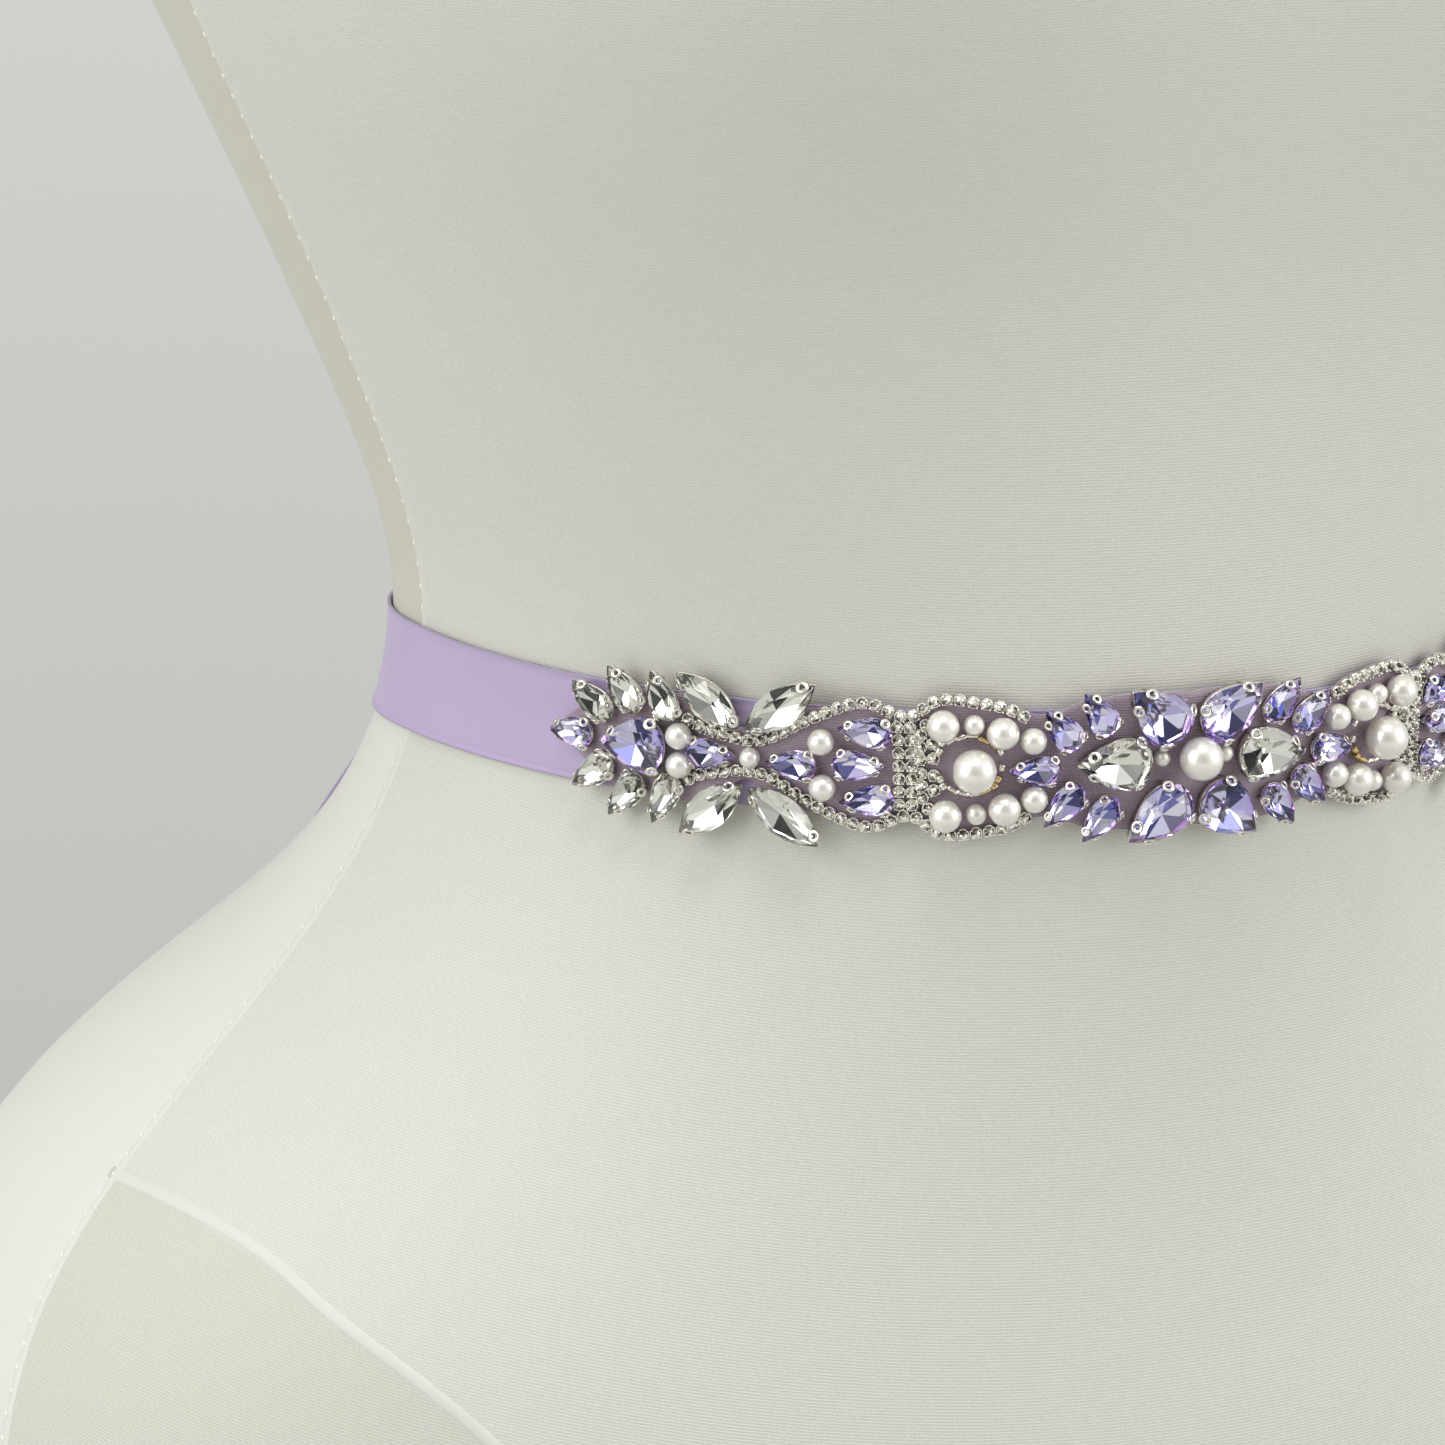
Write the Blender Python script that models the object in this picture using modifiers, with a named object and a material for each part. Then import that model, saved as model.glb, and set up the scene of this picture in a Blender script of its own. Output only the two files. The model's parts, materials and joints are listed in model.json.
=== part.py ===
"""A lavender bridal sash with a jewelled applique, tied round the waist of a limbless dress form.

The ribbon runs round the form's waist in two halves that meet under the applique and under the
bow's knot at the back. The applique is a stiffened backing that carries pearls, pear stones,
navettes and rows of rhinestone chain. Every piece of cloth is made from the form's own surface,
moved out. Sizes in the tables are millimetres, the form's front faces -Y, and the origin is the
middle of its flat underside.
"""
import math

import bmesh
import bpy
import numpy as np
from mathutils import Matrix, Vector

MM = 0.001
SEAM_GAP = 0.3

# The dress form
WAIST_HEIGHT = 300.0
AXIS_Y = -11.0
SECTION_POWER = 2.1
FORM_STATIONS = 64
FORM_SECTIONS = (
    # height, half width, front depth, back depth
    (0, 166, 100, 112),
    (50, 172, 107, 118),
    (100, 178, 112, 131),
    (140, 183, 112, 144),
    (175, 179, 111, 146),
    (205, 165, 107, 134),
    (235, 140, 103, 107),
    (265, 116, 101, 72),
    (290, 104, 101, 55),
    (320, 101, 101, 57),
    (355, 113, 102, 82),
    (400, 136, 106, 105),
    (440, 157, 113, 110),
    (480, 168, 118, 110),
    (520, 166, 118, 107),
    (560, 162, 106, 104),
    (600, 167, 84, 100),
    (625, 173, 68, 94),
    (645, 169, 54, 87),
    (660, 147, 45, 81),
    (675, 110, 41, 77),
    (690, 79, 38, 73),
    (705, 64, 36, 71),
    (720, 58, 36, 70),
    (740, 57, 36, 70),
)
FORM_LEVELS = (
    0, 38, 74, 108, 140, 160, 178, 194, 209, 223, 236, 249, 262, 275, 290.5, 296.8, 303.2,
    309.5, 325, 342, 362, 385, 410, 435, 460, 485, 510, 535, 560, 585, 605, 622, 636, 648,
    660, 673, 688, 702, 718, 740,
)
BUST_OUT = 78.0
BUST_HEIGHT = 492.0
BUST_SPREAD = (42.0, 46.0)
BUST_RISE = 15.0

# The ribbon, which lies in a plane that leans up towards the front, and its bow
RIBBON_THICKNESS = 1.0
RIBBON_WIDTH = 19.0
RIBBON_RISE = 6.3
RIBBON_LEAN = 0.097
RIBBON_ROWS = (-0.5, -0.17, 0.17, 0.5)
LEAN_HOLD = 12.0
LEAN_FADE = 110.0
KNOT_SIZE = (22.0, 11.0, 20.0)
KNOT_CAGE = 1.138
LOOP_REACH = 78.5
LOOP_DEPTH = 13.0
LOOP_RISE = 5.0
LOOP_BACK = 2.0
LOOP_SLANT = 0.13
LOOP_ROOT_WIDTH = 12.0
LOOP_ROOT_ANGLE = 0.35
LOOP_STATIONS = 29
LOOP_ROWS = 5
TAIL_ROOT_WIDTH = 9.0
TAIL_STATIONS = 28
TAIL_ROWS = 4
TAIL_SPREAD_OVER = 30.0
TAIL_LIFT = 1.65
TAIL_WAVE = 0.9
TAIL_WAVE_LENGTH = 132.0
TAIL_WAVE_FROM = 85.0
TAIL_END_SLANT = 10.0
TAIL_PATH = (
    # distance out from the back's middle, drop below the ribbon's centre line
    (7, 14.5),
    (24, 17),
    (48, 16.5),
    (66, 15.5),
    (79, 18.5),
    (84.5, 28),
    (81, 40),
    (77, 52),
    (75, 70),
    (77, 110),
    (82, 150),
    (87, 200),
    (90, 245),
)

# How far each layer stands off the form
BACKING_THICKNESS = 1.0
RIBBON_INNER = SEAM_GAP
BACKING_INNER = RIBBON_INNER + RIBBON_THICKNESS + SEAM_GAP
BACKING_OUTER = BACKING_INNER + BACKING_THICKNESS
RAISED_FROM = BACKING_OUTER - 0.5 * BACKING_THICKNESS
SEATED_AT = BACKING_OUTER + 0.4
KNOT_INNER = RIBBON_INNER + RIBBON_THICKNESS + SEAM_GAP

# The applique, whose two ends mirror each other about its middle. It sits a little towards -X,
# and its upright rows lean that way too, by SLANT for each mm of height.
APPLIQUE_MIDDLE = -0.4
APPLIQUE_SLANT = -0.078
CLUSTER_SEAM = 46.9
BACKING_ROWS = (-1.0, -0.5, 0.0, 0.5, 1.0)
BACKING_STEP = 3.0
BACKING_OUTLINE = (
    # distance from the centre front, half height
    (0, 12.0),
    (7, 12.5),
    (14, 12.0),
    (20, 11.0),
    (25, 9.2),
    (29, 9.8),
    (32, 11.2),
    (37, 12.3),
    (42, 12.9),
    (45, 11.8),
    (48, 9.8),
    (50, 9.6),
    (53, 11.1),
    (56, 11.8),
    (60, 10.5),
    (64, 9.4),
    (69, 9.2),
    (73, 6.4),
    (76, 4.4),
    (79, 6.4),
    (83, 9.0),
    (91, 9.4),
    (97, 9.5),
    (102, 8.0),
    (106, 5.5),
    (109, 3.2),
    (111, 1.6),
)
CHAIN_RADIUS = 1.0
CHAIN_STEP = 4.5
CHAIN_OFF = 0.3
BORDER_CHAIN = (
    # distance from the centre front, distance above or below the centre line
    (86, 5.5),
    (84, 4.4),
    (80, 3.4),
    (76, 2.8),
    (72.5, 3.4),
    (68, 5.9),
    (64, 8.1),
    (60, 10.0),
    (56, 11.2),
    (53, 10.6),
    (50, 9.1),
    (47.5, 9.3),
    (45, 11.3),
    (42, 12.3),
    (37, 11.7),
    (32, 10.6),
    (29.5, 9.2),
)
COLUMN_CHAINS = (48.4, 50.5)
COLUMN_HALF = 7.4
STONE_CLEARANCE = 0.35
STONES = (
    # name, kind, colour, distance out, distance up, tip's angle, length, width, height, mirrored
    # above and below, own solid
    ("centre_pear", "pear", "lavender", 6.8, 9.4, 38, 14, 10, 4.6, True, True),
    ("clear_pear", "pear", "clear", 14.7, 0.6, 0, 14, 10, 4.8, False, True),
    ("inner_pear", "pear", "lavender", 17.0, 9.7, 52, 10, 6, 3.6, True, False),
    ("outer_pear", "pear", "lavender", 23.3, 7.0, 47, 10, 6, 3.6, True, False),
    ("middle_pear", "pear", "lavender", 28.1, -0.4, 0, 9.6, 6, 3.6, False, False),
    ("trio_pear", "pear", "lavender", 55.8, 6.3, 5, 10, 6, 3.6, True, False),
    ("trio_middle", "pear", "lavender", 57.0, 0, 180, 10, 6, 3.6, False, False),
    ("stem_pear", "pear", "lavender", 68.3, -0.6, 0, 9.6, 6, 3.6, False, False),
    ("neck_pear", "pear", "lavender", 81.9, -0.2, 180, 9.6, 6, 3.6, False, False),
    ("end_pear", "pear", "lavender", 95.6, 0, 0, 13, 10.4, 4.6, False, True),
    ("tip_pear", "pear", "lavender", 108.2, 0, 0, 9.4, 6, 3.6, False, False),
    ("fan_pear_1", "pear", "clear", 103.7, 6.8, 37, 10, 6, 3.6, True, False),
    ("fan_pear_2", "pear", "clear", 97.1, 9.9, 53, 10, 6, 3.6, True, False),
    ("fan_pear_3", "pear", "clear", 90.1, 9.5, 68, 10, 6, 3.6, True, False),
    ("outer_navette", "navette", "clear", 81.4, 9.9, 41, 15, 7.2, 4.0, True, True),
    ("inner_navette", "navette", "clear", 69.2, 10.0, 143, 16, 7.4, 4.0, True, True),
)
PEARLS = (
    # name, distance out, distance up, diameter, mirrored above and below, own solid
    ("ring_pearl", 38.4, 0.5, 8, False, True),
    ("ring_bead_1", 43.0, 8.2, 6, True, False),
    ("ring_bead_2", 37.9, 8.1, 4, True, False),
    ("ring_bead_3", 33.4, 6.9, 6, True, False),
    ("ring_bead_4", 28.4, 5.3, 5, True, False),
    ("trio_bead", 63.0, 4.2, 5, True, False),
    ("neck_bead", 75.1, 0, 4, False, False),
    ("end_bead", 87.2, 2.7, 5, True, False),
)
CENTRE_PEARL_UP = 1.3
CENTRE_PEARL = 8.0
STONE_LEVELS = (
    # share of the height, share of the outline
    (0.0, 0.80),
    (0.40, 1.0),
    (0.80, 0.66),
    (1.0, 0.36),
)
STONE_POINTS = {True: 14, False: 8}
PEARL_POINTS = {True: 14, False: 8}
PEAR_HALF_WIDTH = 0.77

COLOURS = {
    # red, green, blue, roughness, metallic
    "form_cloth": (0.80, 0.79, 0.72, 0.6, 0.0),
    "ribbon": (0.56, 0.45, 0.72, 0.35, 0.0),
    "backing": (0.36, 0.28, 0.34, 0.7, 0.0),
    "lavender": (0.36, 0.28, 0.75, 0.08, 0.3),
    "clear": (0.80, 0.82, 0.80, 0.05, 0.4),
    "pearl": (0.90, 0.88, 0.84, 0.2, 0.1),
}


def natural_curve(across, value):
    """A smooth curve through a table's points: a cubic on each span, with no bend at the ends."""
    across, value = np.asarray(across, float), np.asarray(value, float)
    last = len(across) - 1
    step = np.diff(across)
    slope = np.diff(value) / step
    system, right = np.eye(last + 1), np.zeros(last + 1)
    for k in range(1, last):
        system[k, k - 1 : k + 2] = step[k - 1], 2 * (step[k - 1] + step[k]), step[k]
        right[k] = 6 * (slope[k] - slope[k - 1])
    bend = np.linalg.solve(system, right)

    def curve(x):
        x = np.asarray(x, float)
        k = np.clip(np.searchsorted(across, x) - 1, 0, last - 1)
        before, after, h = x - across[k], across[k + 1] - x, step[k]
        cubic = (bend[k] * after**3 + bend[k + 1] * before**3) / (6 * h)
        start, end = value[k] / h - bend[k] * h / 6, value[k + 1] / h - bend[k + 1] * h / 6
        return cubic + start * after + end * before

    return curve


SECTION_TABLE = np.array(FORM_SECTIONS, float)
HALF_WIDTH = natural_curve(SECTION_TABLE[:, 0], SECTION_TABLE[:, 1])
FRONT_DEPTH = natural_curve(SECTION_TABLE[:, 0], SECTION_TABLE[:, 2])
BACK_DEPTH = natural_curve(SECTION_TABLE[:, 0], SECTION_TABLE[:, 3])


def on_body(turn, height):
    """A point of the form's surface. turn is 0 at the +X side, and -90 degrees at the front."""
    turn, height = np.broadcast_arrays(np.asarray(turn, float), np.asarray(height, float))
    cos, sin = np.cos(turn), np.sin(turn)
    x = HALF_WIDTH(height) * np.sign(cos) * np.abs(cos) ** (2 / SECTION_POWER)
    depth = np.where(sin < 0, FRONT_DEPTH(height), BACK_DEPTH(height))
    y = depth * np.sign(sin) * np.abs(sin) ** (2 / SECTION_POWER)
    bust = sum(np.exp(-(((x - side * BUST_OUT) / BUST_SPREAD[0]) ** 2) / 2) for side in (-1, 1))
    bust = bust * BUST_RISE * np.exp(-(((height - BUST_HEIGHT) / BUST_SPREAD[1]) ** 2) / 2)
    y = y - bust * np.sqrt(np.clip(-sin, 0, None))
    return np.stack([x, y + AXIS_Y, height], axis=-1)


def off_body(turn, height, off):
    """A point off mm outside the form's surface, along its outward normal."""
    small_turn, small_height = 0.001, 0.5
    round_it = on_body(turn + small_turn, height) - on_body(turn - small_turn, height)
    up_it = on_body(turn, height + small_height) - on_body(turn, height - small_height)
    normal = np.cross(round_it, up_it)
    normal = normal / np.linalg.norm(normal, axis=-1, keepdims=True)
    return on_body(turn, height) + normal * np.asarray(off, float)[..., None]


def ribbon_height(turn):
    """The height of the ribbon's centre line at a turn, higher towards the front."""
    height = np.full(np.shape(turn), WAIST_HEIGHT + RIBBON_RISE)
    for _ in range(6):
        y = on_body(turn, height)[..., 1] - AXIS_Y
        height = WAIST_HEIGHT + RIBBON_RISE - RIBBON_LEAN * y
    return height


RIBBON_TURNS = np.linspace(-1.5 * math.pi, 0.5 * math.pi, 1441)
RIBBON_LINE = off_body(RIBBON_TURNS, ribbon_height(RIBBON_TURNS), 0.0)
RIBBON_STEPS = np.linalg.norm(np.diff(RIBBON_LINE, axis=0), axis=1)
RIBBON_RUN = np.concatenate([[0], np.cumsum(RIBBON_STEPS)])
RIBBON_RUN = RIBBON_RUN - np.interp(-0.5 * math.pi, RIBBON_TURNS, RIBBON_RUN)


def turn_at(distance):
    """The turn at a distance along the ribbon from the centre front, towards +X when positive."""
    return np.interp(distance, RIBBON_RUN, RIBBON_TURNS)


def on_sash(distance, up, off):
    """A point by its distance along the ribbon, its height above the centre line, and its offset."""
    turn = turn_at(distance)
    return off_body(turn, ribbon_height(turn) + up, off)


def on_applique(distance, up, off):
    """A point by its distance from the applique's middle, its height and its offset."""
    return on_sash(APPLIQUE_MIDDLE + distance + APPLIQUE_SLANT * up, up, off)


def jewel_frame(distance, up, off, angle):
    """The placing of a stone: its X along its tip's direction, and its Z off the sash."""
    origin = on_applique(distance, up, off)
    step = np.array([-0.5, 0.5])
    start, end = on_applique(distance + step, up, np.full(2, off))
    along = Vector(end - start).normalized()
    below, above = on_applique(distance, up + step, np.full(2, off))
    upward = Vector(above - below)
    outward = along.cross(upward).normalized()
    upward = outward.cross(along)
    tip = along * math.cos(angle) + upward * math.sin(angle)
    side = outward.cross(tip)
    frame = Matrix((tip, side, outward)).transposed().to_4x4()
    frame.translation = Vector(origin * MM)
    return frame


def material(slot):
    """The Principled material of a slot, made once."""
    found = bpy.data.materials.get(slot)
    if found:
        return found
    made = bpy.data.materials.new(slot)
    made.use_nodes = True
    shader = made.node_tree.nodes["Principled BSDF"]
    red, green, blue, roughness, metallic = COLOURS[slot]
    shader.inputs["Base Color"].default_value = (red, green, blue, 1)
    shader.inputs["Roughness"].default_value = roughness
    shader.inputs["Metallic"].default_value = metallic
    return made


def collection(name):
    """A collection of the scene, made once."""
    found = bpy.data.collections.get(name)
    if not found:
        found = bpy.data.collections.new(name)
        bpy.context.scene.collection.children.link(found)
    return found


def add_object(name, mesh, slot, into="bridal_sash"):
    """A mesh as a named object with its material."""
    made = bpy.data.objects.new(name, mesh)
    mesh.materials.append(material(slot))
    collection(into).objects.link(made)
    return made


def grid_mesh(name, points, closed=False):
    """A mesh of four-sided faces on rows of points, whose rows join up when closed is set."""
    rows, columns = points.shape[:2]
    index = np.arange(rows * columns).reshape(rows, columns)
    if closed:
        index = np.concatenate([index, index[:1]])
    faces = np.stack([index[:-1, :-1], index[1:, :-1], index[1:, 1:], index[:-1, 1:]], axis=-1)
    mesh = bpy.data.meshes.new(name)
    mesh.from_pydata((points.reshape(-1, 3) * MM).tolist(), [], faces.reshape(-1, 4).tolist())
    return mesh


def thicken(made, thickness):
    """Turns an open surface into a wall that grows outwards."""
    wall = made.modifiers.new("wall", "SOLIDIFY")
    wall.thickness = thickness * MM
    wall.offset = 1.0
    wall.use_even_offset = True
    return made


def build_form():
    """The dress form: one closed loft, whose rings near the waist run parallel to the ribbon."""
    turns = np.arange(FORM_STATIONS) * 2 * math.pi / FORM_STATIONS
    levels = np.array(FORM_LEVELS, float)
    fade = (LEAN_FADE - np.abs(levels - WAIST_HEIGHT)) / (LEAN_FADE - LEAN_HOLD)
    heights = levels + np.clip(fade, 0, 1) * (ribbon_height(turns)[:, None] - WAIST_HEIGHT)
    mesh = grid_mesh("dress_form", on_body(turns[:, None], heights), closed=True)
    shell = bmesh.new()
    shell.from_mesh(mesh)
    bmesh.ops.contextual_create(shell, geom=[e for e in shell.edges if e.is_boundary])
    bmesh.ops.recalc_face_normals(shell, faces=shell.faces[:])
    shell.to_mesh(mesh)
    shell.free()
    mesh.shade_smooth()
    mesh.set_sharp_from_angle(angle=math.radians(50))
    return add_object("dress_form", mesh, "form_cloth")


def build_ribbon():
    """The two halves of the waist band, from under the applique to under the knot."""
    station = 2 * math.pi / FORM_STATIONS
    for name, first in (("ribbon_right", -0.5 * math.pi), ("ribbon_left", -1.5 * math.pi)):
        turns = first + station * np.arange(FORM_STATIONS // 2 + 1)
        half_gap = 0.5 * SEAM_GAP / np.interp(turns, RIBBON_TURNS, np.gradient(RIBBON_RUN, RIBBON_TURNS))
        turns[0] += half_gap[0]
        turns[-1] -= half_gap[-1]
        heights = ribbon_height(turns)[:, None] + RIBBON_WIDTH * np.array(RIBBON_ROWS)
        points = off_body(turns[:, None], heights, np.full(heights.shape, RIBBON_INNER))
        thicken(add_object(name, grid_mesh(name, points), "ribbon"), RIBBON_THICKNESS)


def back_turn(out, height):
    """The turn on the back at a distance out from the middle, towards +X when positive."""
    share = np.clip(np.abs(out) / HALF_WIDTH(height), 0, 1) ** (SECTION_POWER / 2)
    return np.where(out >= 0, np.arccos(share), math.pi - np.arccos(share))


def knot_middle():
    """The middle of the bow's knot, on the back of the ribbon."""
    behind = np.array(0.5 * math.pi)
    return off_body(behind, ribbon_height(behind), KNOT_INNER + 0.5 * KNOT_SIZE[1])


def build_knot():
    """The bow's knot: a subdivided block, whose cage is larger than the knot by KNOT_CAGE."""
    bpy.ops.mesh.primitive_cube_add(size=1)
    knot = bpy.context.object
    knot.name = knot.data.name = "bow_knot"
    cage = Matrix.Diagonal(Vector(KNOT_SIZE) * (KNOT_CAGE * MM)).to_4x4()
    knot.data.transform(Matrix.Translation(Vector(knot_middle() * MM)) @ cage)
    knot.data.materials.append(material("ribbon"))
    for holder in knot.users_collection:
        holder.objects.unlink(knot)
    collection("bridal_sash").objects.link(knot)
    soft = knot.modifiers.new("soft", "SUBSURF")
    soft.levels = soft.render_levels = 2


def build_loop(name, side):
    """A bow loop: a pear outline in plan with its tip at the knot, swept up by the ribbon's width.
    Its end leans, so that its upper edge reaches further out."""
    angles = np.linspace(LOOP_ROOT_ANGLE, 2 * math.pi - LOOP_ROOT_ANGLE, LOOP_STATIONS)
    root = 0.5 * KNOT_SIZE[0] + SEAM_GAP
    reach = LOOP_REACH - root
    first = 0.5 * (1 - math.cos(LOOP_ROOT_ANGLE))
    share = np.clip((0.5 * (1 - np.cos(angles)) - first) / (1 - first), 0, 1)[:, None]
    bulge = 0.5 * LOOP_DEPTH / PEAR_HALF_WIDTH * (np.sin(angles) * np.sin(angles / 2))[:, None]
    width = LOOP_ROOT_WIDTH + (RIBBON_WIDTH - LOOP_ROOT_WIDTH) * np.sqrt(share)
    middle = knot_middle()
    rows = np.linspace(-0.5, 0.5, LOOP_ROWS)
    x = side * (root + reach * share * (1 - LOOP_SLANT * (0.5 - rows)))
    y = middle[1] - bulge - LOOP_BACK * share**2 + 0 * rows
    z = middle[2] + LOOP_RISE * share**1.5 + width * rows
    points = np.stack([x, y, z], axis=-1)
    if side < 0:
        points = points[::-1]
    thicken(add_object(name, grid_mesh(name, points), "ribbon"), RIBBON_THICKNESS)


def build_tail(name, side):
    """A bow tail that falls outwards from the knot and then hangs down the back of the form."""
    table = np.array(TAIL_PATH, float)
    run = np.concatenate([[0], np.cumsum(np.linalg.norm(np.diff(table, axis=0), axis=1))])
    place = np.linspace(0, run[-1], TAIL_STATIONS)
    out, drop = natural_curve(run, table[:, 0])(place), natural_curve(run, table[:, 1])(place)
    toward = np.stack([np.gradient(out, place), np.gradient(drop, place)], axis=-1)
    toward = toward / np.linalg.norm(toward, axis=-1, keepdims=True)
    spread = np.clip(place / TAIL_SPREAD_OVER, 0, 1) ** 0.8
    width = TAIL_ROOT_WIDTH + (RIBBON_WIDTH - TAIL_ROOT_WIDTH) * spread
    rows = np.linspace(-0.5, 0.5, TAIL_ROWS)
    near_end = np.clip((place - run[-1]) / RIBBON_WIDTH + 1, 0, 1)[:, None]
    slant = TAIL_END_SLANT * near_end * rows
    across_out = out[:, None] + toward[:, 1:] * width[:, None] * rows + toward[:, :1] * slant
    across_drop = drop[:, None] - toward[:, :1] * width[:, None] * rows + toward[:, 1:] * slant
    height = WAIST_HEIGHT - across_drop
    beyond = np.clip(place - TAIL_WAVE_FROM, 0, None)
    wave = 1 - np.cos(2 * math.pi * beyond / TAIL_WAVE_LENGTH)
    lift = TAIL_LIFT + TAIL_WAVE * wave[:, None] + 0 * rows
    points = off_body(back_turn(side * across_out, height), height, lift)
    if side > 0:
        points = points[::-1]
    thicken(add_object(name, grid_mesh(name, points), "ribbon"), RIBBON_THICKNESS)


def pear_outline(count):
    """A drop of length 1 and width 1 with its tip at +X."""
    angle = np.arange(count) * 2 * math.pi / count
    across = np.sin(angle) * np.abs(np.sin(angle / 2)) / (2 * PEAR_HALF_WIDTH)
    return np.stack([0.5 * np.cos(angle), across], axis=-1)


def navette_outline(count):
    """Two equal arcs that meet in a tip at each end, of length 1 and width 1."""
    angle = np.arange(count) * 2 * math.pi / count
    return np.stack([0.5 * np.cos(angle), 0.5 * np.sin(angle) * np.abs(np.sin(angle))], axis=-1)


def stone_mesh(name, kind, length, width, height, count):
    """A cut stone: its outline at four levels, widest at the girdle, with a flat top."""
    outline = {"pear": pear_outline, "navette": navette_outline}[kind](count)
    outline = outline * (length - STONE_CLEARANCE, width - STONE_CLEARANCE)
    rings = [np.c_[outline * share, np.full(count, level * height)] for level, share in STONE_LEVELS]
    mesh = grid_mesh(name, np.stack(rings, axis=1), closed=True)
    solid = bmesh.new()
    solid.from_mesh(mesh)
    bmesh.ops.contextual_create(solid, geom=[e for e in solid.edges if e.is_boundary])
    bmesh.ops.recalc_face_normals(solid, faces=solid.faces[:])
    solid.to_mesh(mesh)
    solid.free()
    return mesh


def pearl_mesh(name, diameter, count):
    """A pearl, resting on the plane z = 0."""
    mesh = bpy.data.meshes.new(name)
    ball = bmesh.new()
    radius = 0.5 * (diameter - STONE_CLEARANCE) * MM
    lifted = Matrix.Translation((0, 0, radius))
    bmesh.ops.create_uvsphere(ball, u_segments=count, v_segments=count // 2 + 1, radius=radius, matrix=lifted)
    ball.to_mesh(mesh)
    ball.free()
    mesh.shade_smooth()
    return mesh


def mirrored_places(distance, up, both):
    """The places where a piece repeats: (name ending, side, level, distance, height)."""
    for side, side_name in ((-1, "left"), (1, "right")):
        for level, level_name in ((1, "_upper"), (-1, "_lower")) if both else ((1, ""),):
            yield f"{side_name}{level_name}", side, level, side * distance, level * up


def cluster_of(distance):
    """The stretch of the backing that a place belongs to."""
    if abs(distance) < CLUSTER_SEAM:
        return "centre"
    return "left" if distance < 0 else "right"


def add_jewel(name, mesh, slot, cluster, own):
    """A jewel as a solid of its own, or else hidden, to be raised in its stretch of the backing."""
    if own:
        return add_object(name, mesh, slot)
    made = add_object(name, mesh, slot, f"raised_{cluster}")
    made.hide_render = True
    made.display_type = "WIRE"
    return made


def build_jewels():
    """Every stone and pearl: the large ones as solids of their own, the others to be raised."""
    for name, kind, colour, distance, up, angle, length, width, height, both, own in STONES:
        for ending, side, level, s, t in mirrored_places(distance, up, both):
            mesh = stone_mesh(f"{name}_{ending}", kind, length, width, height, STONE_POINTS[own])
            tip = math.radians(angle) * level
            turned = tip if side > 0 else math.pi - tip
            mesh.transform(jewel_frame(s, t, SEATED_AT if own else RAISED_FROM, turned))
            add_jewel(mesh.name, mesh, colour, cluster_of(s), own)
    for name, distance, up, diameter, both, own in PEARLS:
        for ending, side, level, s, t in mirrored_places(distance, up, both):
            mesh = pearl_mesh(f"{name}_{ending}", diameter, PEARL_POINTS[own])
            mesh.transform(jewel_frame(s, t, SEATED_AT if own else RAISED_FROM, 0.0))
            add_jewel(mesh.name, mesh, "pearl", cluster_of(s), own)
    mesh = pearl_mesh("centre_pearl", CENTRE_PEARL, PEARL_POINTS[True])
    mesh.transform(jewel_frame(0.0, CENTRE_PEARL_UP, SEATED_AT, 0.0))
    add_jewel(mesh.name, mesh, "pearl", "centre", True)


def chain_solid(name, places, cluster):
    """A run of rhinestone chain as a rounded bar along (distance, height) places on the backing."""
    places = np.asarray(places, float)
    run = np.concatenate([[0], np.cumsum(np.linalg.norm(np.diff(places, axis=0), axis=1))])
    samples = np.linspace(0, run[-1], max(2, round(run[-1] / CHAIN_STEP) + 1))
    distance = natural_curve(run, places[:, 0])(samples)
    up = natural_curve(run, places[:, 1])(samples)
    points = on_applique(distance, up, np.full(len(samples), BACKING_OUTER + CHAIN_OFF))
    curve = bpy.data.curves.new(name, "CURVE")
    curve.dimensions = "3D"
    curve.bevel_depth = CHAIN_RADIUS * MM
    curve.bevel_resolution = 0
    curve.use_fill_caps = True
    spline = curve.splines.new("POLY")
    spline.points.add(len(points) - 1)
    spline.points.foreach_set("co", np.c_[points * MM, np.ones(len(points))].ravel())
    bar = bpy.data.objects.new(name, curve)
    bpy.context.scene.collection.objects.link(bar)
    mesh = bpy.data.meshes.new_from_object(bar.evaluated_get(bpy.context.evaluated_depsgraph_get()))
    bpy.data.objects.remove(bar)
    welded = bmesh.new()
    welded.from_mesh(mesh)
    bmesh.ops.remove_doubles(welded, verts=welded.verts[:], dist=0.01 * MM)
    bmesh.ops.recalc_face_normals(welded, faces=welded.faces[:])
    welded.to_mesh(mesh)
    welded.free()
    mesh.materials.clear()
    add_jewel(name, mesh, "clear", cluster, False)


def build_chains():
    """The chain along the backing's edges, and the two short columns beside each ring."""
    border = np.array(BORDER_CHAIN, float)
    outer = border[border[:, 0] > CLUSTER_SEAM]
    inner = border[border[:, 0] < CLUSTER_SEAM]
    for side, side_name in ((-1, "left"), (1, "right")):
        for level, level_name in ((-1, "lower"), (1, "upper")):
            chain_solid(f"border_{side_name}_{level_name}", outer * (side, level), side_name)
            chain_solid(f"ring_{side_name}_{level_name}", inner * (side, level), "centre")
        for number, distance in enumerate(COLUMN_CHAINS):
            ends = [(side * distance, -COLUMN_HALF), (side * distance, COLUMN_HALF)]
            chain_solid(f"column_{side_name}_{number}", ends, side_name)


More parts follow.
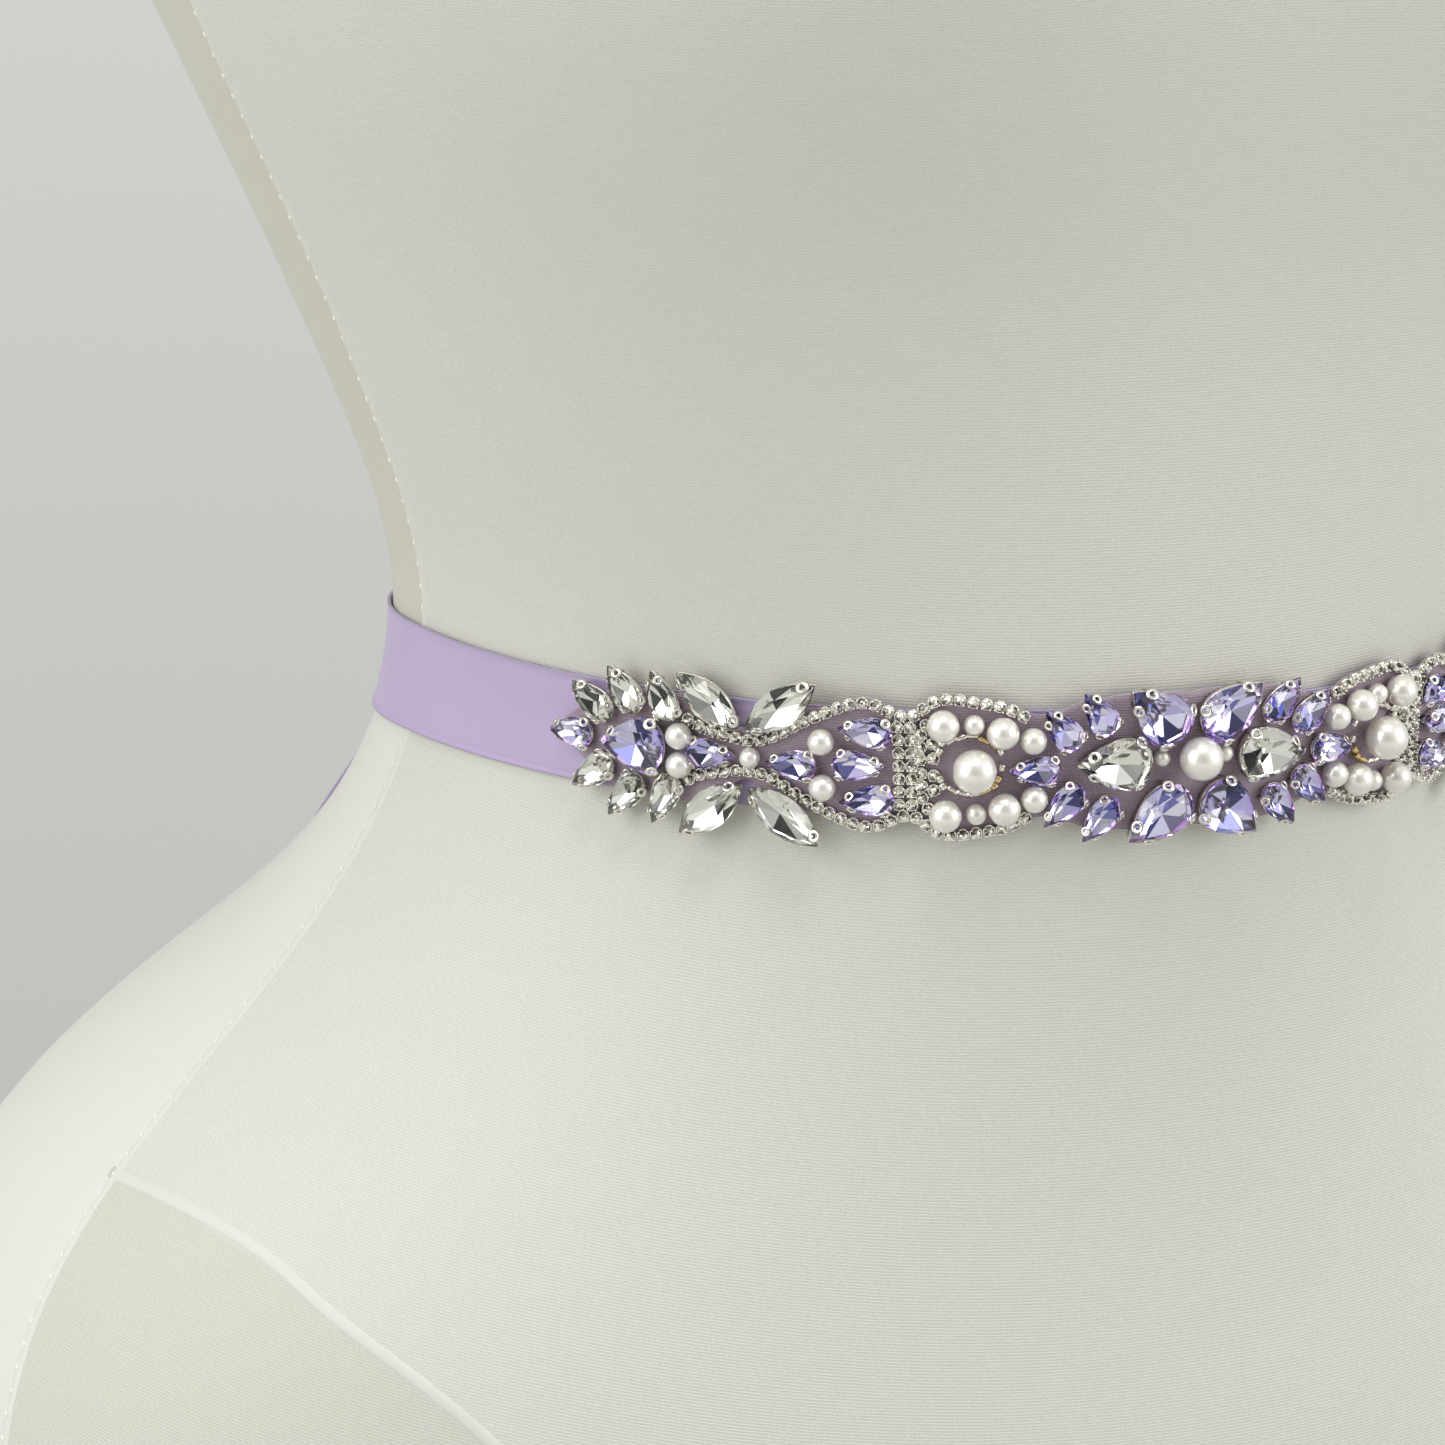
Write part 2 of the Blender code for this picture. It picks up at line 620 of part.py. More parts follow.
def build_backing():
    """The backing in three stretches, each with its small stones, pearls and chain raised on it."""
    table = np.array(BACKING_OUTLINE, float)
    half_height = natural_curve(table[:, 0], table[:, 1])
    half_gap = 0.5 * SEAM_GAP
    stretches = {
        "centre": (-CLUSTER_SEAM + half_gap, CLUSTER_SEAM - half_gap),
        "left": (-table[-1, 0], -CLUSTER_SEAM - half_gap),
        "right": (CLUSTER_SEAM + half_gap, table[-1, 0]),
    }
    for cluster, (first, last) in stretches.items():
        name = f"applique_{cluster}"
        distance = np.linspace(first, last, round((last - first) / BACKING_STEP) + 1)[:, None]
        up = half_height(np.abs(distance)) * np.array(BACKING_ROWS)
        points = on_applique(distance + 0 * up, up, np.full(up.shape, BACKING_INNER))
        backing = thicken(add_object(name, grid_mesh(name, points), "backing"), BACKING_THICKNESS)
        raise_jewels = backing.modifiers.new("raised", "BOOLEAN")
        raise_jewels.operation = "UNION"
        raise_jewels.operand_type = "COLLECTION"
        raise_jewels.collection = collection(f"raised_{cluster}")
        raise_jewels.solver = "EXACT"


def main():
    """Builds the whole sash and its form in an emptied scene."""
    for old in list(bpy.data.objects):
        bpy.data.objects.remove(old)
    build_form()
    build_ribbon()
    build_knot()
    for side, side_name in ((-1, "left"), (1, "right")):
        build_loop(f"bow_loop_{side_name}", side)
        build_tail(f"bow_tail_{side_name}", side)
    build_jewels()
    build_chains()
    build_backing()


main()
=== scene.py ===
"""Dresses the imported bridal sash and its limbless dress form: knit cover, ribbon, bow and jewelled applique.

Tables are in millimetres and repeat the part's own sizes. The form's front faces -Y, distances along
the ribbon are counted from the centre front, positive towards +X, and heights from its centre line.
"""
import json
import math

import bpy
import numpy as np
from bpy.props import FloatProperty, FloatVectorProperty, PointerProperty
from mathutils import Matrix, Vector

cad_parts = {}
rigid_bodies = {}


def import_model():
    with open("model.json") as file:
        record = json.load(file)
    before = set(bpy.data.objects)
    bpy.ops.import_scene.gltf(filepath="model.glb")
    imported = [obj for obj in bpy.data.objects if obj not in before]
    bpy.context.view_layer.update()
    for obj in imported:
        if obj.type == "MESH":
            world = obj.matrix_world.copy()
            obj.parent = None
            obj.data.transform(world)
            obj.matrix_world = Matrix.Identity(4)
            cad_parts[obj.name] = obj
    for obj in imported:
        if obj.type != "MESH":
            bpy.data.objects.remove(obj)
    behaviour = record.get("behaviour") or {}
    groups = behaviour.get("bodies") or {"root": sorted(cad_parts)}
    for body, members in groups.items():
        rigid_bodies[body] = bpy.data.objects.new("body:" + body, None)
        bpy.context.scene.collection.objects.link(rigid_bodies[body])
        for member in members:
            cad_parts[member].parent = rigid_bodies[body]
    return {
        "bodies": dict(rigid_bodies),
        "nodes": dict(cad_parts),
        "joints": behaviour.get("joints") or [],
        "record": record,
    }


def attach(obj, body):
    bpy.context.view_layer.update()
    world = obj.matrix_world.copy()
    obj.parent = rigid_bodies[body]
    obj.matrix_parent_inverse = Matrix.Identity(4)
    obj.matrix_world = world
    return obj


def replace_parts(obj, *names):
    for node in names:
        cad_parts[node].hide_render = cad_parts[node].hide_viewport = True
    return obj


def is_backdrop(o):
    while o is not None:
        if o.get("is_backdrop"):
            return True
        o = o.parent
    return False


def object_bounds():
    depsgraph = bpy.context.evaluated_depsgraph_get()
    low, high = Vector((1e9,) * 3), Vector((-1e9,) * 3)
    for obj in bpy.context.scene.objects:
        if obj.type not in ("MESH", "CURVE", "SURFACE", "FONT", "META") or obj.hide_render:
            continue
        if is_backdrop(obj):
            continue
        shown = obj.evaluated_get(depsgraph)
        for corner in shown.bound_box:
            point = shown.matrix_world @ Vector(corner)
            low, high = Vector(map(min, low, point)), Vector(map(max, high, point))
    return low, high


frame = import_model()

CAD_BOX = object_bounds()

bl_info = {
    "name": "Bridal Sash Dresser",
    "version": (1, 0, 0),
    "blender": (4, 5, 0),
    "location": "3D View > Sidebar > Bridal Sash",
    "description": "Builds the finished surfaces of a jewelled ribbon sash on a dress form",
    "category": "Object",
}

MM = 0.001
BODY = "root"

# The dress form, as the part has it
WAIST_HEIGHT = 300.0
AXIS_Y = -11.0
SECTION_POWER = 2.1
FORM_TOP = 740.0
FORM_SECTIONS = (
    # height, half width, front depth, back depth
    (0, 166, 100, 112),
    (50, 172, 107, 118),
    (100, 178, 112, 131),
    (140, 183, 112, 144),
    (175, 179, 111, 146),
    (205, 165, 107, 134),
    (235, 140, 103, 107),
    (265, 116, 101, 72),
    (290, 104, 101, 55),
    (320, 101, 101, 57),
    (355, 113, 102, 82),
    (400, 136, 106, 105),
    (440, 157, 113, 110),
    (480, 168, 118, 110),
    (520, 166, 118, 107),
    (560, 162, 106, 104),
    (600, 167, 84, 100),
    (625, 173, 68, 94),
    (645, 169, 54, 87),
    (660, 147, 45, 81),
    (675, 110, 41, 77),
    (690, 79, 38, 73),
    (705, 64, 36, 71),
    (720, 58, 36, 70),
    (740, 57, 36, 70),
)
BUST_OUT = 78.0
BUST_HEIGHT = 492.0
BUST_SPREAD = (42.0, 46.0)
BUST_RISE = 15.0
COVER_STATIONS = 180
COVER_LEVELS = 216
COVER_THICKNESS = 0.5

# Seams of the cover; the leg line is the left one, and both are mirrored
SIDE_SEAM = (
    # height, distance behind the form's axis
    (2, -38),
    (110, -36),
    (230, -5),
    (300, -5),
    (470, -10),
    (600, -8),
    (738, -2),
)
LEG_LINE = (
    # turn in degrees, height
    (-177.7, 219),
    (-171.5, 220),
    (-165.4, 220),
    (-154.3, 217),
    (-146.2, 211),
    (-139.3, 205),
    (-131.8, 196),
    (-124.0, 181),
    (-116.0, 158),
    (-108.0, 126),
    (-101.0, 88),
    (-96.5, 45),
    (-94.0, 3),
)

# The ribbon and its bow
RIBBON_RISE = 6.3
RIBBON_LEAN = 0.097
RIBBON_INNER = 0.3
RIBBON_STITCH_IN = 1.3
RIBBON_STITCH_WIDTH = 0.22
RIBBON_STITCH_PITCH = 0.9
# Width of the painted shade along each edge of the ribbon
RIBBON_EDGE_SHADE_WIDTH = 0.25
KNOT_SIZE = (22.0, 11.0, 20.0)
KNOT_INNER = 1.6
LOOP_REACH = 78.5
LOOP_DEPTH = 13.0
LOOP_RISE = 5.0
LOOP_BACK = 2.0
LOOP_SLANT = 0.13
LOOP_ROOT_WIDTH = 12.0
LOOP_ROOT_ANGLE = 0.35
TAIL_ROOT_WIDTH = 9.0
TAIL_SPREAD_OVER = 30.0
TAIL_LIFT = 1.65
TAIL_WAVE = 0.9
TAIL_WAVE_LENGTH = 132.0
TAIL_WAVE_FROM = 85.0
TAIL_END_SLANT = 10.0
TAIL_IN_KNOT = (2.5, 7.0)
TAIL_PATH = (
    # distance out from the back's middle, drop below the ribbon's centre line
    (7, 14.5),
    (24, 17),
    (48, 16.5),
    (66, 15.5),
    (79, 18.5),
    (84.5, 28),
    (81, 40),
    (77, 52),
    (75, 70),
    (77, 110),
    (82, 150),
    (87, 200),
    (90, 245),
)

# The applique
APPLIQUE_MIDDLE = -0.4
APPLIQUE_SLANT = -0.078
CLUSTER_SEAM = 46.9
SEAM_GAP = 0.3
BACKING_INNER = 1.6
SEATED_AT = 3.0
SMALL_SEATED_AT = 2.5
BACKING_OUTLINE = (
    # distance from the centre front, half height
    (0, 12.0),
    (7, 12.5),
    (14, 12.0),
    (20, 11.0),
    (25, 9.2),
    (29, 9.8),
    (32, 11.2),
    (37, 12.3),
    (42, 12.9),
    (45, 11.8),
    (48, 9.8),
    (50, 9.6),
    (53, 11.1),
    (56, 11.8),
    (60, 10.5),
    (64, 9.4),
    (69, 9.2),
    (73, 6.4),
    (76, 4.4),
    (79, 6.4),
    (83, 9.0),
    (91, 9.4),
    (97, 9.5),
    (102, 8.0),
    (106, 5.5),
    (109, 3.2),
    (111, 1.6),
)
BORDER_CHAIN = (
    # distance from the centre front, distance above or below the centre line
    (86, 5.5),
    (84, 4.4),
    (80, 3.4),
    (76, 2.8),
    (72.5, 3.4),
    (68, 5.9),
    (64, 8.1),
    (60, 10.0),
    (56, 11.2),
    (53, 10.6),
    (50, 9.1),
    (47.5, 9.3),
    (45, 11.3),
    (42, 12.3),
    (37, 11.7),
    (32, 10.6),
    (29.5, 9.2),
)
COLUMN_CHAINS = (48.4, 50.5)
COLUMN_HALF = 7.05
FAN_ROWS = (
    # distance along, distance up, angle towards the centre front's side, stones
    (46.9, 1.25, 8, 2),
    (46.8, 3.5, 20, 2),
    (46.7, 5.7, 62, 2),
)
STONES = (
    # name, kind, colour, distance out, distance up, tip's angle, length, width, height, mirrored
    # above and below, large
    ("centre_pear", "pear", "lavender", 6.8, 9.4, 38, 14, 10, 4.6, True, True),
    ("clear_pear", "pear", "clear", 14.7, 0.6, 0, 14, 10, 4.8, False, True),
    ("inner_pear", "pear", "lavender", 17.0, 9.7, 52, 10, 6, 3.6, True, False),
    ("outer_pear", "pear", "lavender", 23.3, 7.0, 47, 10, 6, 3.6, True, False),
    ("middle_pear", "pear", "lavender", 28.1, -0.4, 0, 9.6, 6, 3.6, False, False),
    ("trio_pear", "pear", "lavender", 55.8, 6.3, 5, 10, 6, 3.6, True, False),
    ("trio_middle", "pear", "lavender", 57.0, 0, 180, 10, 6, 3.6, False, False),
    ("stem_pear", "pear", "lavender", 68.3, -0.6, 0, 9.6, 6, 3.6, False, False),
    ("neck_pear", "pear", "lavender", 81.9, -0.2, 180, 9.6, 6, 3.6, False, False),
    ("end_pear", "pear", "lavender", 95.6, 0, 0, 13, 10.4, 4.6, False, True),
    ("tip_pear", "pear", "lavender", 108.2, 0, 0, 9.4, 6, 3.6, False, False),
    ("fan_pear_1", "pear", "clear", 103.7, 6.8, 37, 10, 6, 3.6, True, False),
    ("fan_pear_2", "pear", "clear", 97.1, 9.9, 53, 10, 6, 3.6, True, False),
    ("fan_pear_3", "pear", "clear", 90.1, 9.5, 68, 10, 6, 3.6, True, False),
    ("outer_navette", "navette", "clear", 81.4, 9.9, 41, 15, 7.2, 4.0, True, True),
    ("inner_navette", "navette", "clear", 69.2, 10.0, 143, 16, 7.4, 4.0, True, True),
)
STONE_CLEARANCE = 0.35
PEAR_HALF_WIDTH = 0.77
PRONG_ANGLES = {
    # kind and size: degrees round the outline from the tip
    ("pear", True): (52, 134, -130, -50),
    ("pear", False): (56, 132, -136, -52),
    ("navette", True): (38, -140),
}
PEARLS = (
    # name, distance out, distance up, diameter, mirrored above and below
    ("ring_bead_1", 43.0, 8.2, 6, True),
    ("ring_bead_2", 37.9, 8.1, 4, True),
    ("ring_bead_3", 33.4, 6.9, 6, True),
    ("ring_bead_4", 28.4, 5.3, 5, True),
    ("trio_bead", 63.0, 4.2, 5, True),
    ("neck_bead", 75.1, 0, 4, False),
    ("end_bead", 87.2, 2.7, 5, True),
    ("small_bead", 5.9, 0.9, 3.3, False),
)
RING_PEARL = (38.4, 0.5, 8.0)
CENTRE_PEARL = (0.0, 1.3, 8.0)

# The camera, from the photograph: where it stands, and how it is turned, in radians
CAMERA_PLACE = (-777.8, -1474.5, 822.9)
CAMERA_YAW = 0.4681
CAMERA_PITCH = 0.3132
CAMERA_ROLL = 0.0744
CAMERA_LENS = 239.6
SENSOR = 36.0


# Curves and the form's surface

def unit(vectors):
    """Vectors scaled to length 1 along their last axis."""
    return vectors / np.linalg.norm(vectors, axis=-1, keepdims=True)


def natural_curve(across, value):
    """A smooth curve through a table's points: a cubic on each span, with no bend at the ends."""
    across, value = np.asarray(across, float), np.asarray(value, float)
    last = len(across) - 1
    step = np.diff(across)
    slope = np.diff(value) / step
    system, right = np.eye(last + 1), np.zeros(last + 1)
    for k in range(1, last):
        system[k, k - 1 : k + 2] = step[k - 1], 2 * (step[k - 1] + step[k]), step[k]
        right[k] = 6 * (slope[k] - slope[k - 1])
    bend = np.linalg.solve(system, right)

    def curve(x):
        x = np.asarray(x, float)
        k = np.clip(np.searchsorted(across, x) - 1, 0, last - 1)
        before, after, h = x - across[k], across[k + 1] - x, step[k]
        cubic = (bend[k] * after**3 + bend[k + 1] * before**3) / (6 * h)
        start, end = value[k] / h - bend[k] * h / 6, value[k + 1] / h - bend[k + 1] * h / 6
        return cubic + start * after + end * before

    return curve


def even_path(table, step):
    """Points on a smooth curve through a table's rows, about step apart by length."""
    table = np.asarray(table, float)
    run = np.concatenate([[0], np.cumsum(np.linalg.norm(np.diff(table, axis=0), axis=1))])
    place = np.linspace(0, run[-1], max(2, round(run[-1] / step) + 1))
    return np.stack([natural_curve(run, column)(place) for column in table.T], axis=-1)


SECTION_TABLE = np.array(FORM_SECTIONS, float)
HALF_WIDTH = natural_curve(SECTION_TABLE[:, 0], SECTION_TABLE[:, 1])
FRONT_DEPTH = natural_curve(SECTION_TABLE[:, 0], SECTION_TABLE[:, 2])
BACK_DEPTH = natural_curve(SECTION_TABLE[:, 0], SECTION_TABLE[:, 3])


def on_body(turn, height):
    """A point of the form: a superellipse round its axis at each height, with the bust as two bell
    curves. turn is 0 at the +X side, and -90 degrees at the front."""
    turn, height = np.broadcast_arrays(np.asarray(turn, float), np.asarray(height, float))
    cos, sin = np.cos(turn), np.sin(turn)
    x = HALF_WIDTH(height) * np.sign(cos) * np.abs(cos) ** (2 / SECTION_POWER)
    depth = np.where(sin < 0, FRONT_DEPTH(height), BACK_DEPTH(height))
    y = depth * np.sign(sin) * np.abs(sin) ** (2 / SECTION_POWER)
    bust = sum(np.exp(-(((x - side * BUST_OUT) / BUST_SPREAD[0]) ** 2) / 2) for side in (-1, 1))
    bust = bust * BUST_RISE * np.exp(-(((height - BUST_HEIGHT) / BUST_SPREAD[1]) ** 2) / 2)
    y = y - bust * np.sqrt(np.clip(-sin, 0, None))
    return np.stack([x, y + AXIS_Y, height], axis=-1)


def body_normal(turn, height):
    """The form's outward normal: the cross product of its two directions."""
    small_turn, small_height = 0.001, 0.5
    round_it = on_body(turn + small_turn, height) - on_body(turn - small_turn, height)
    up_it = on_body(turn, height + small_height) - on_body(turn, height - small_height)
    return unit(np.cross(round_it, up_it))


def off_body(turn, height, off):
    """A point off mm outside the form's surface, along its outward normal."""
    turn, height, off = np.broadcast_arrays(*(np.asarray(a, float) for a in (turn, height, off)))
    return on_body(turn, height) + body_normal(turn, height) * off[..., None]


def ribbon_height(turn):
    """The height of the ribbon's centre line at a turn, higher towards the front."""
    height = np.full(np.shape(turn), WAIST_HEIGHT + RIBBON_RISE)
    for _ in range(6):
        y = on_body(turn, height)[..., 1] - AXIS_Y
        height = WAIST_HEIGHT + RIBBON_RISE - RIBBON_LEAN * y
    return height


RIBBON_TURNS = np.linspace(-1.5 * math.pi, 0.5 * math.pi, 1441)
RIBBON_LINE = off_body(RIBBON_TURNS, ribbon_height(RIBBON_TURNS), 0.0)
RIBBON_STEPS = np.linalg.norm(np.diff(RIBBON_LINE, axis=0), axis=1)
RIBBON_RUN = np.concatenate([[0], np.cumsum(RIBBON_STEPS)])
RIBBON_RUN = RIBBON_RUN - np.interp(-0.5 * math.pi, RIBBON_TURNS, RIBBON_RUN)


def on_sash(distance, up, off):
    """A point by its distance along the ribbon, its height above the centre line, and its offset."""
    turn = np.interp(distance, RIBBON_RUN, RIBBON_TURNS)
    return off_body(turn, ribbon_height(turn) + up, off)


def on_applique(distance, up, off):
    """A point by its distance from the applique's middle, its height and its offset."""
    return on_sash(APPLIQUE_MIDDLE + distance + APPLIQUE_SLANT * up, up, off)


def jewel_frames(distance, up, off, angle=0.0):
    """4 x 4 frames on the applique: X at an angle from the ribbon's run, and Z straight off it."""
    parts = (np.atleast_1d(np.asarray(a, float)) for a in (distance, up, off, angle))
    distance, up, off, angle = np.broadcast_arrays(*parts)
    along = unit(on_applique(distance + 0.5, up, off) - on_applique(distance - 0.5, up, off))
    upward = on_applique(distance, up + 0.5, off) - on_applique(distance, up - 0.5, off)
    outward = unit(np.cross(along, upward))
    tip = along * np.cos(angle)[..., None] + np.cross(outward, along) * np.sin(angle)[..., None]
    return frames_from(tip, outward, on_applique(distance, up, off))


def frames_from(along, outward, origin):
    """4 x 4 frames with X along, Z outward and their origin."""
    frames = np.zeros(origin.shape[:-1] + (4, 4))
    frames[..., :3, 0] = along
    frames[..., :3, 1] = np.cross(outward, along)
    frames[..., :3, 2] = outward
    frames[..., :3, 3] = origin
    frames[..., 3, 3] = 1
    return frames


def path_frames(points, normals):
    """Frames along a path: X on with the path, Z the surface's normal made square to it."""
    along = unit(np.gradient(points, axis=0))
    outward = unit(normals - along * np.sum(normals * along, axis=-1, keepdims=True))
    return frames_from(along, outward, points)


# Meshes

def give_mesh(name, mesh, materials):
    """A finished mesh as an object that rides on the part."""
    for material in materials:
        mesh.materials.append(material)
    made = bpy.data.objects.new(name, mesh)
    bpy.context.scene.collection.objects.link(made)
    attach(made, BODY)
    return made


def cloth_grid(name, points, uv, material, closed=False):
    """A smooth sheet of four-sided faces on rows x columns of points in mm, with a UV map in metres.
    With closed set the rows join up, and uv then has one row more than points."""
    rows, columns = points.shape[:2]
    index = np.arange(rows * columns).reshape(rows, columns)
    if closed:
        index = np.concatenate([index, index[:1]])
    corners = ((0, 0), (1, 0), (1, 1), (0, 1))
    last_row, last_column = index.shape[0] - 1, columns - 1

    def at_corners(values):
        return np.stack([values[a : last_row + a, b : last_column + b] for a, b in corners], axis=2)

    mesh = bpy.data.meshes.new(name)
    mesh.from_pydata((points.reshape(-1, 3) * MM).tolist(), [], at_corners(index).reshape(-1, 4).tolist())
    layer = mesh.uv_layers.new(name="UVMap")
    layer.data.foreach_set("uv", (at_corners(uv) * MM).astype(np.float32).ravel())
    mesh.shade_smooth()
    return give_mesh(name, mesh, [material])


def thicken(made, thickness, offset):
    """Gives an open sheet its wall, outwards for offset 1 and inwards for -1."""
    wall = made.modifiers.new("wall", "SOLIDIFY")
    wall.thickness = thickness * MM
    wall.offset = offset
    wall.use_even_offset = True
    return made


def ring_loft(rings):
    """Triangles on closed rings (rings x points), with a fan from a middle point over each end."""
    count, size = rings.shape[:2]
    k = np.arange(size)
    after = (k + 1) % size
    low = (np.arange(count - 1) * size)[:, None]
    sides = np.concatenate([
        np.stack([low + k, low + after, low + size + after], axis=-1).reshape(-1, 3),
        np.stack([low + k, low + size + after, low + size + k], axis=-1).reshape(-1, 3),
    ])
    top, first, last = (count - 1) * size, count * size, count * size + 1
    ends = np.concatenate([
        np.stack([after, k, np.full(size, first)], axis=-1),
        np.stack([top + k, top + after, np.full(size, last)], axis=-1),
    ])
    middles = [rings[0].mean(axis=0), rings[-1].mean(axis=0)]
    return np.concatenate([rings.reshape(-1, 3), middles]), np.concatenate([sides, ends])


def torus_loft(rings):
    """Triangles on closed rings that also join up from the last ring to the first."""
    count, size = rings.shape[:2]
    index = np.arange(count * size).reshape(count, size)
    a, b = index, np.roll(index, -1, axis=0)
    c, d = np.roll(b, -1, axis=1), np.roll(a, -1, axis=1)
    faces = np.concatenate([np.stack([a, b, c], axis=-1), np.stack([a, c, d], axis=-1)])
    return rings.reshape(-1, 3), faces.reshape(-1, 3)


def repeated(points, faces, frames):
    """A shape's points carried to every frame, and its faces renumbered for each copy."""
    placed = np.einsum("fij,pj->fpi", frames[:, :3, :3], points) + frames[:, None, :3, 3]
    shift = (np.arange(len(frames)) * len(points))[:, None, None]
    return placed.reshape(-1, 3), (faces[None] + shift).reshape(-1, 3)


def joined(shapes):
    """Several shapes, each a tuple of points, faces and then values for each face, as one."""
    shift = np.cumsum([0] + [len(shape[0]) for shape in shapes[:-1]])
    points = np.concatenate([shape[0] for shape in shapes])
    faces = np.concatenate([shape[1] + s for shape, s in zip(shapes, shift)])
    rest = [np.concatenate(values) for values in zip(*(shape[2:] for shape in shapes))]
    return (points, faces, *rest)


def small_parts(name, shape, materials, smooth=True):
    """A joined mesh of triangles. A third array picks each face's material, and a fourth its tint with a painted
    reflection.
    """
    points, faces, *rest = shape
    mesh = bpy.data.meshes.new(name)
    mesh.from_pydata((points * MM).tolist(), [], faces.tolist())
    if smooth:
        mesh.shade_smooth()
    if rest:
        mesh.polygons.foreach_set("material_index", rest[0].astype(np.int32))
    if len(rest) > 1:
        tint_and_painted_reflection = mesh.color_attributes.new("tint_and_painted_reflection", "FLOAT_COLOR", "CORNER")
        colour = np.repeat(np.c_[rest[1], np.ones(len(faces))], 3, axis=0)
        tint_and_painted_reflection.data.foreach_set("color", colour.astype(np.float32).ravel())
    mesh.update()
    return give_mesh(name, mesh, materials)


# Materials

def node(tree, kind, inputs=None, **settings):
    """A shader node with its settings and inputs, each a value or the socket that feeds it."""
    made = tree.nodes.new("ShaderNode" + kind)
    for name, value in settings.items():
        setattr(made, name, value)
    for key, value in (inputs or {}).items():
        if isinstance(value, bpy.types.NodeSocket):
            tree.links.new(value, made.inputs[key])
        else:
            made.inputs[key].default_value = value
    return made


def maths(tree, operation, *values):
    """The result of a Math node on values or sockets."""
    return node(tree, "Math", dict(enumerate(values)), operation=operation).outputs[0]


def new_group(name, inputs, outputs):
    """An empty node group with its sockets: (name, kind, default) in, and (name, kind) out."""
    group = bpy.data.node_groups.new(name, "ShaderNodeTree")
    for socket, kind, default in inputs:
        made = group.interface.new_socket(socket, in_out="INPUT", socket_type="NodeSocket" + kind)
        if default is not None:
            made.default_value = default
    for socket, kind in outputs:
        group.interface.new_socket(socket, in_out="OUTPUT", socket_type="NodeSocket" + kind)
    return group, group.nodes.new("NodeGroupInput").outputs, group.nodes.new("NodeGroupOutput").inputs


def weave_group():
    """Woven or knitted ground: rows across V, finer threads along U, and fibres that break both."""
    found = bpy.data.node_groups.get("weave")
    if found:
        return found
    group, given, result = new_group(
        "weave",
        [("Vector", "Vector", None), ("Row", "Float", 0.0006), ("Thread", "Float", 0.0004),
         ("Fibre", "Float", 0.5), ("Mottle", "Float", 60.0)],
        [("Height", "Float"), ("Glint", "Float"), ("Mottle", "Float")],
    )
    parts = node(group, "SeparateXYZ", {0: given["Vector"]}).outputs
    wander = node(group, "TexNoise", {"Vector": given["Vector"], "Scale": 70.0, "Detail": 2.0})
    sway = maths(group, "MULTIPLY", maths(group, "SUBTRACT", wander.outputs["Fac"], 0.5), 0.5)
    row_place = maths(group, "ADD", maths(group, "DIVIDE", parts["Y"], given["Row"]), sway)
    row = maths(group, "SINE", maths(group, "MULTIPLY", row_place, 2 * math.pi))
    thread_place = maths(group, "DIVIDE", parts["X"], given["Thread"])
    thread = maths(group, "SINE", maths(group, "MULTIPLY", thread_place, 2 * math.pi))
    thread = maths(group, "MULTIPLY", thread, maths(group, "ABSOLUTE", row))
    fibre = node(group, "TexNoise", {"Vector": given["Vector"], "Scale": 3400.0, "Detail": 3.0})
    loose = maths(group, "MULTIPLY", maths(group, "SUBTRACT", fibre.outputs["Fac"], 0.5), given["Fibre"])
    height = maths(group, "ADD", maths(group, "MULTIPLY", row, 0.5), maths(group, "MULTIPLY", thread, 0.2))
    height = maths(group, "ADD", height, maths(group, "MULTIPLY", loose, 3.0))
    group.links.new(height, result["Height"])
    # A mask of the brightest fibres, where the colour gets painted glints
    glint = node(group, "MapRange", {"Value": fibre.outputs["Fac"], "From Min": 0.52, "From Max": 0.68})
    group.links.new(glint.outputs[0], result["Glint"])
    mottle = node(group, "TexNoise", {"Vector": given["Vector"], "Scale": given["Mottle"], "Detail": 4.0})
    group.links.new(mottle.outputs["Fac"], result["Mottle"])
    return group


def new_material(name, **constants):
    """A material with its Principled shader and the values that are the same all over it."""
    made = bpy.data.materials.new(name)
    made.use_nodes = True
    tree = made.node_tree
    shader = tree.nodes["Principled BSDF"]
    for key, value in constants.items():
        shader.inputs[key.replace("_", " ")].default_value = value
    return made, tree, shader


def rgba(colour, share=1.0):
    """A colour as four numbers, its brightness times share."""
    return (*(min(1.0, channel * share) for channel in colour), 1.0)


def mixed(tree, factor, first, second):
    """A colour between two others."""
    mix = node(tree, "Mix", {"Factor": factor, "A": first, "B": second}, data_type="RGBA")
    return mix.outputs["Result"]


def mixed_colour(tree, factor, first, second):
    """A colour between two colours, by the colour sockets of a Mix node."""
    mix = tree.nodes.new("ShaderNodeMix")
    mix.data_type = "RGBA"
    for place, value in ((0, factor), (6, first), (7, second)):
        if isinstance(value, bpy.types.NodeSocket):
            tree.links.new(value, mix.inputs[place])
        else:
            mix.inputs[place].default_value = value
    return mix.outputs[2]


# Tints of the panels behind the side seams: painted light below the waist and painted shade above it
PANEL_PAINTED_LIGHT_BELOW = (1.015, 1.015, 1.03)
PANEL_PAINTED_SHADE_ABOVE = (0.83, 0.825, 0.765)
PANEL_PLAINNESS = 0.6
# Painted shade on the cloth below the leg line
LEG_PAINTED_SHADE = (0.915, 0.915, 0.895)


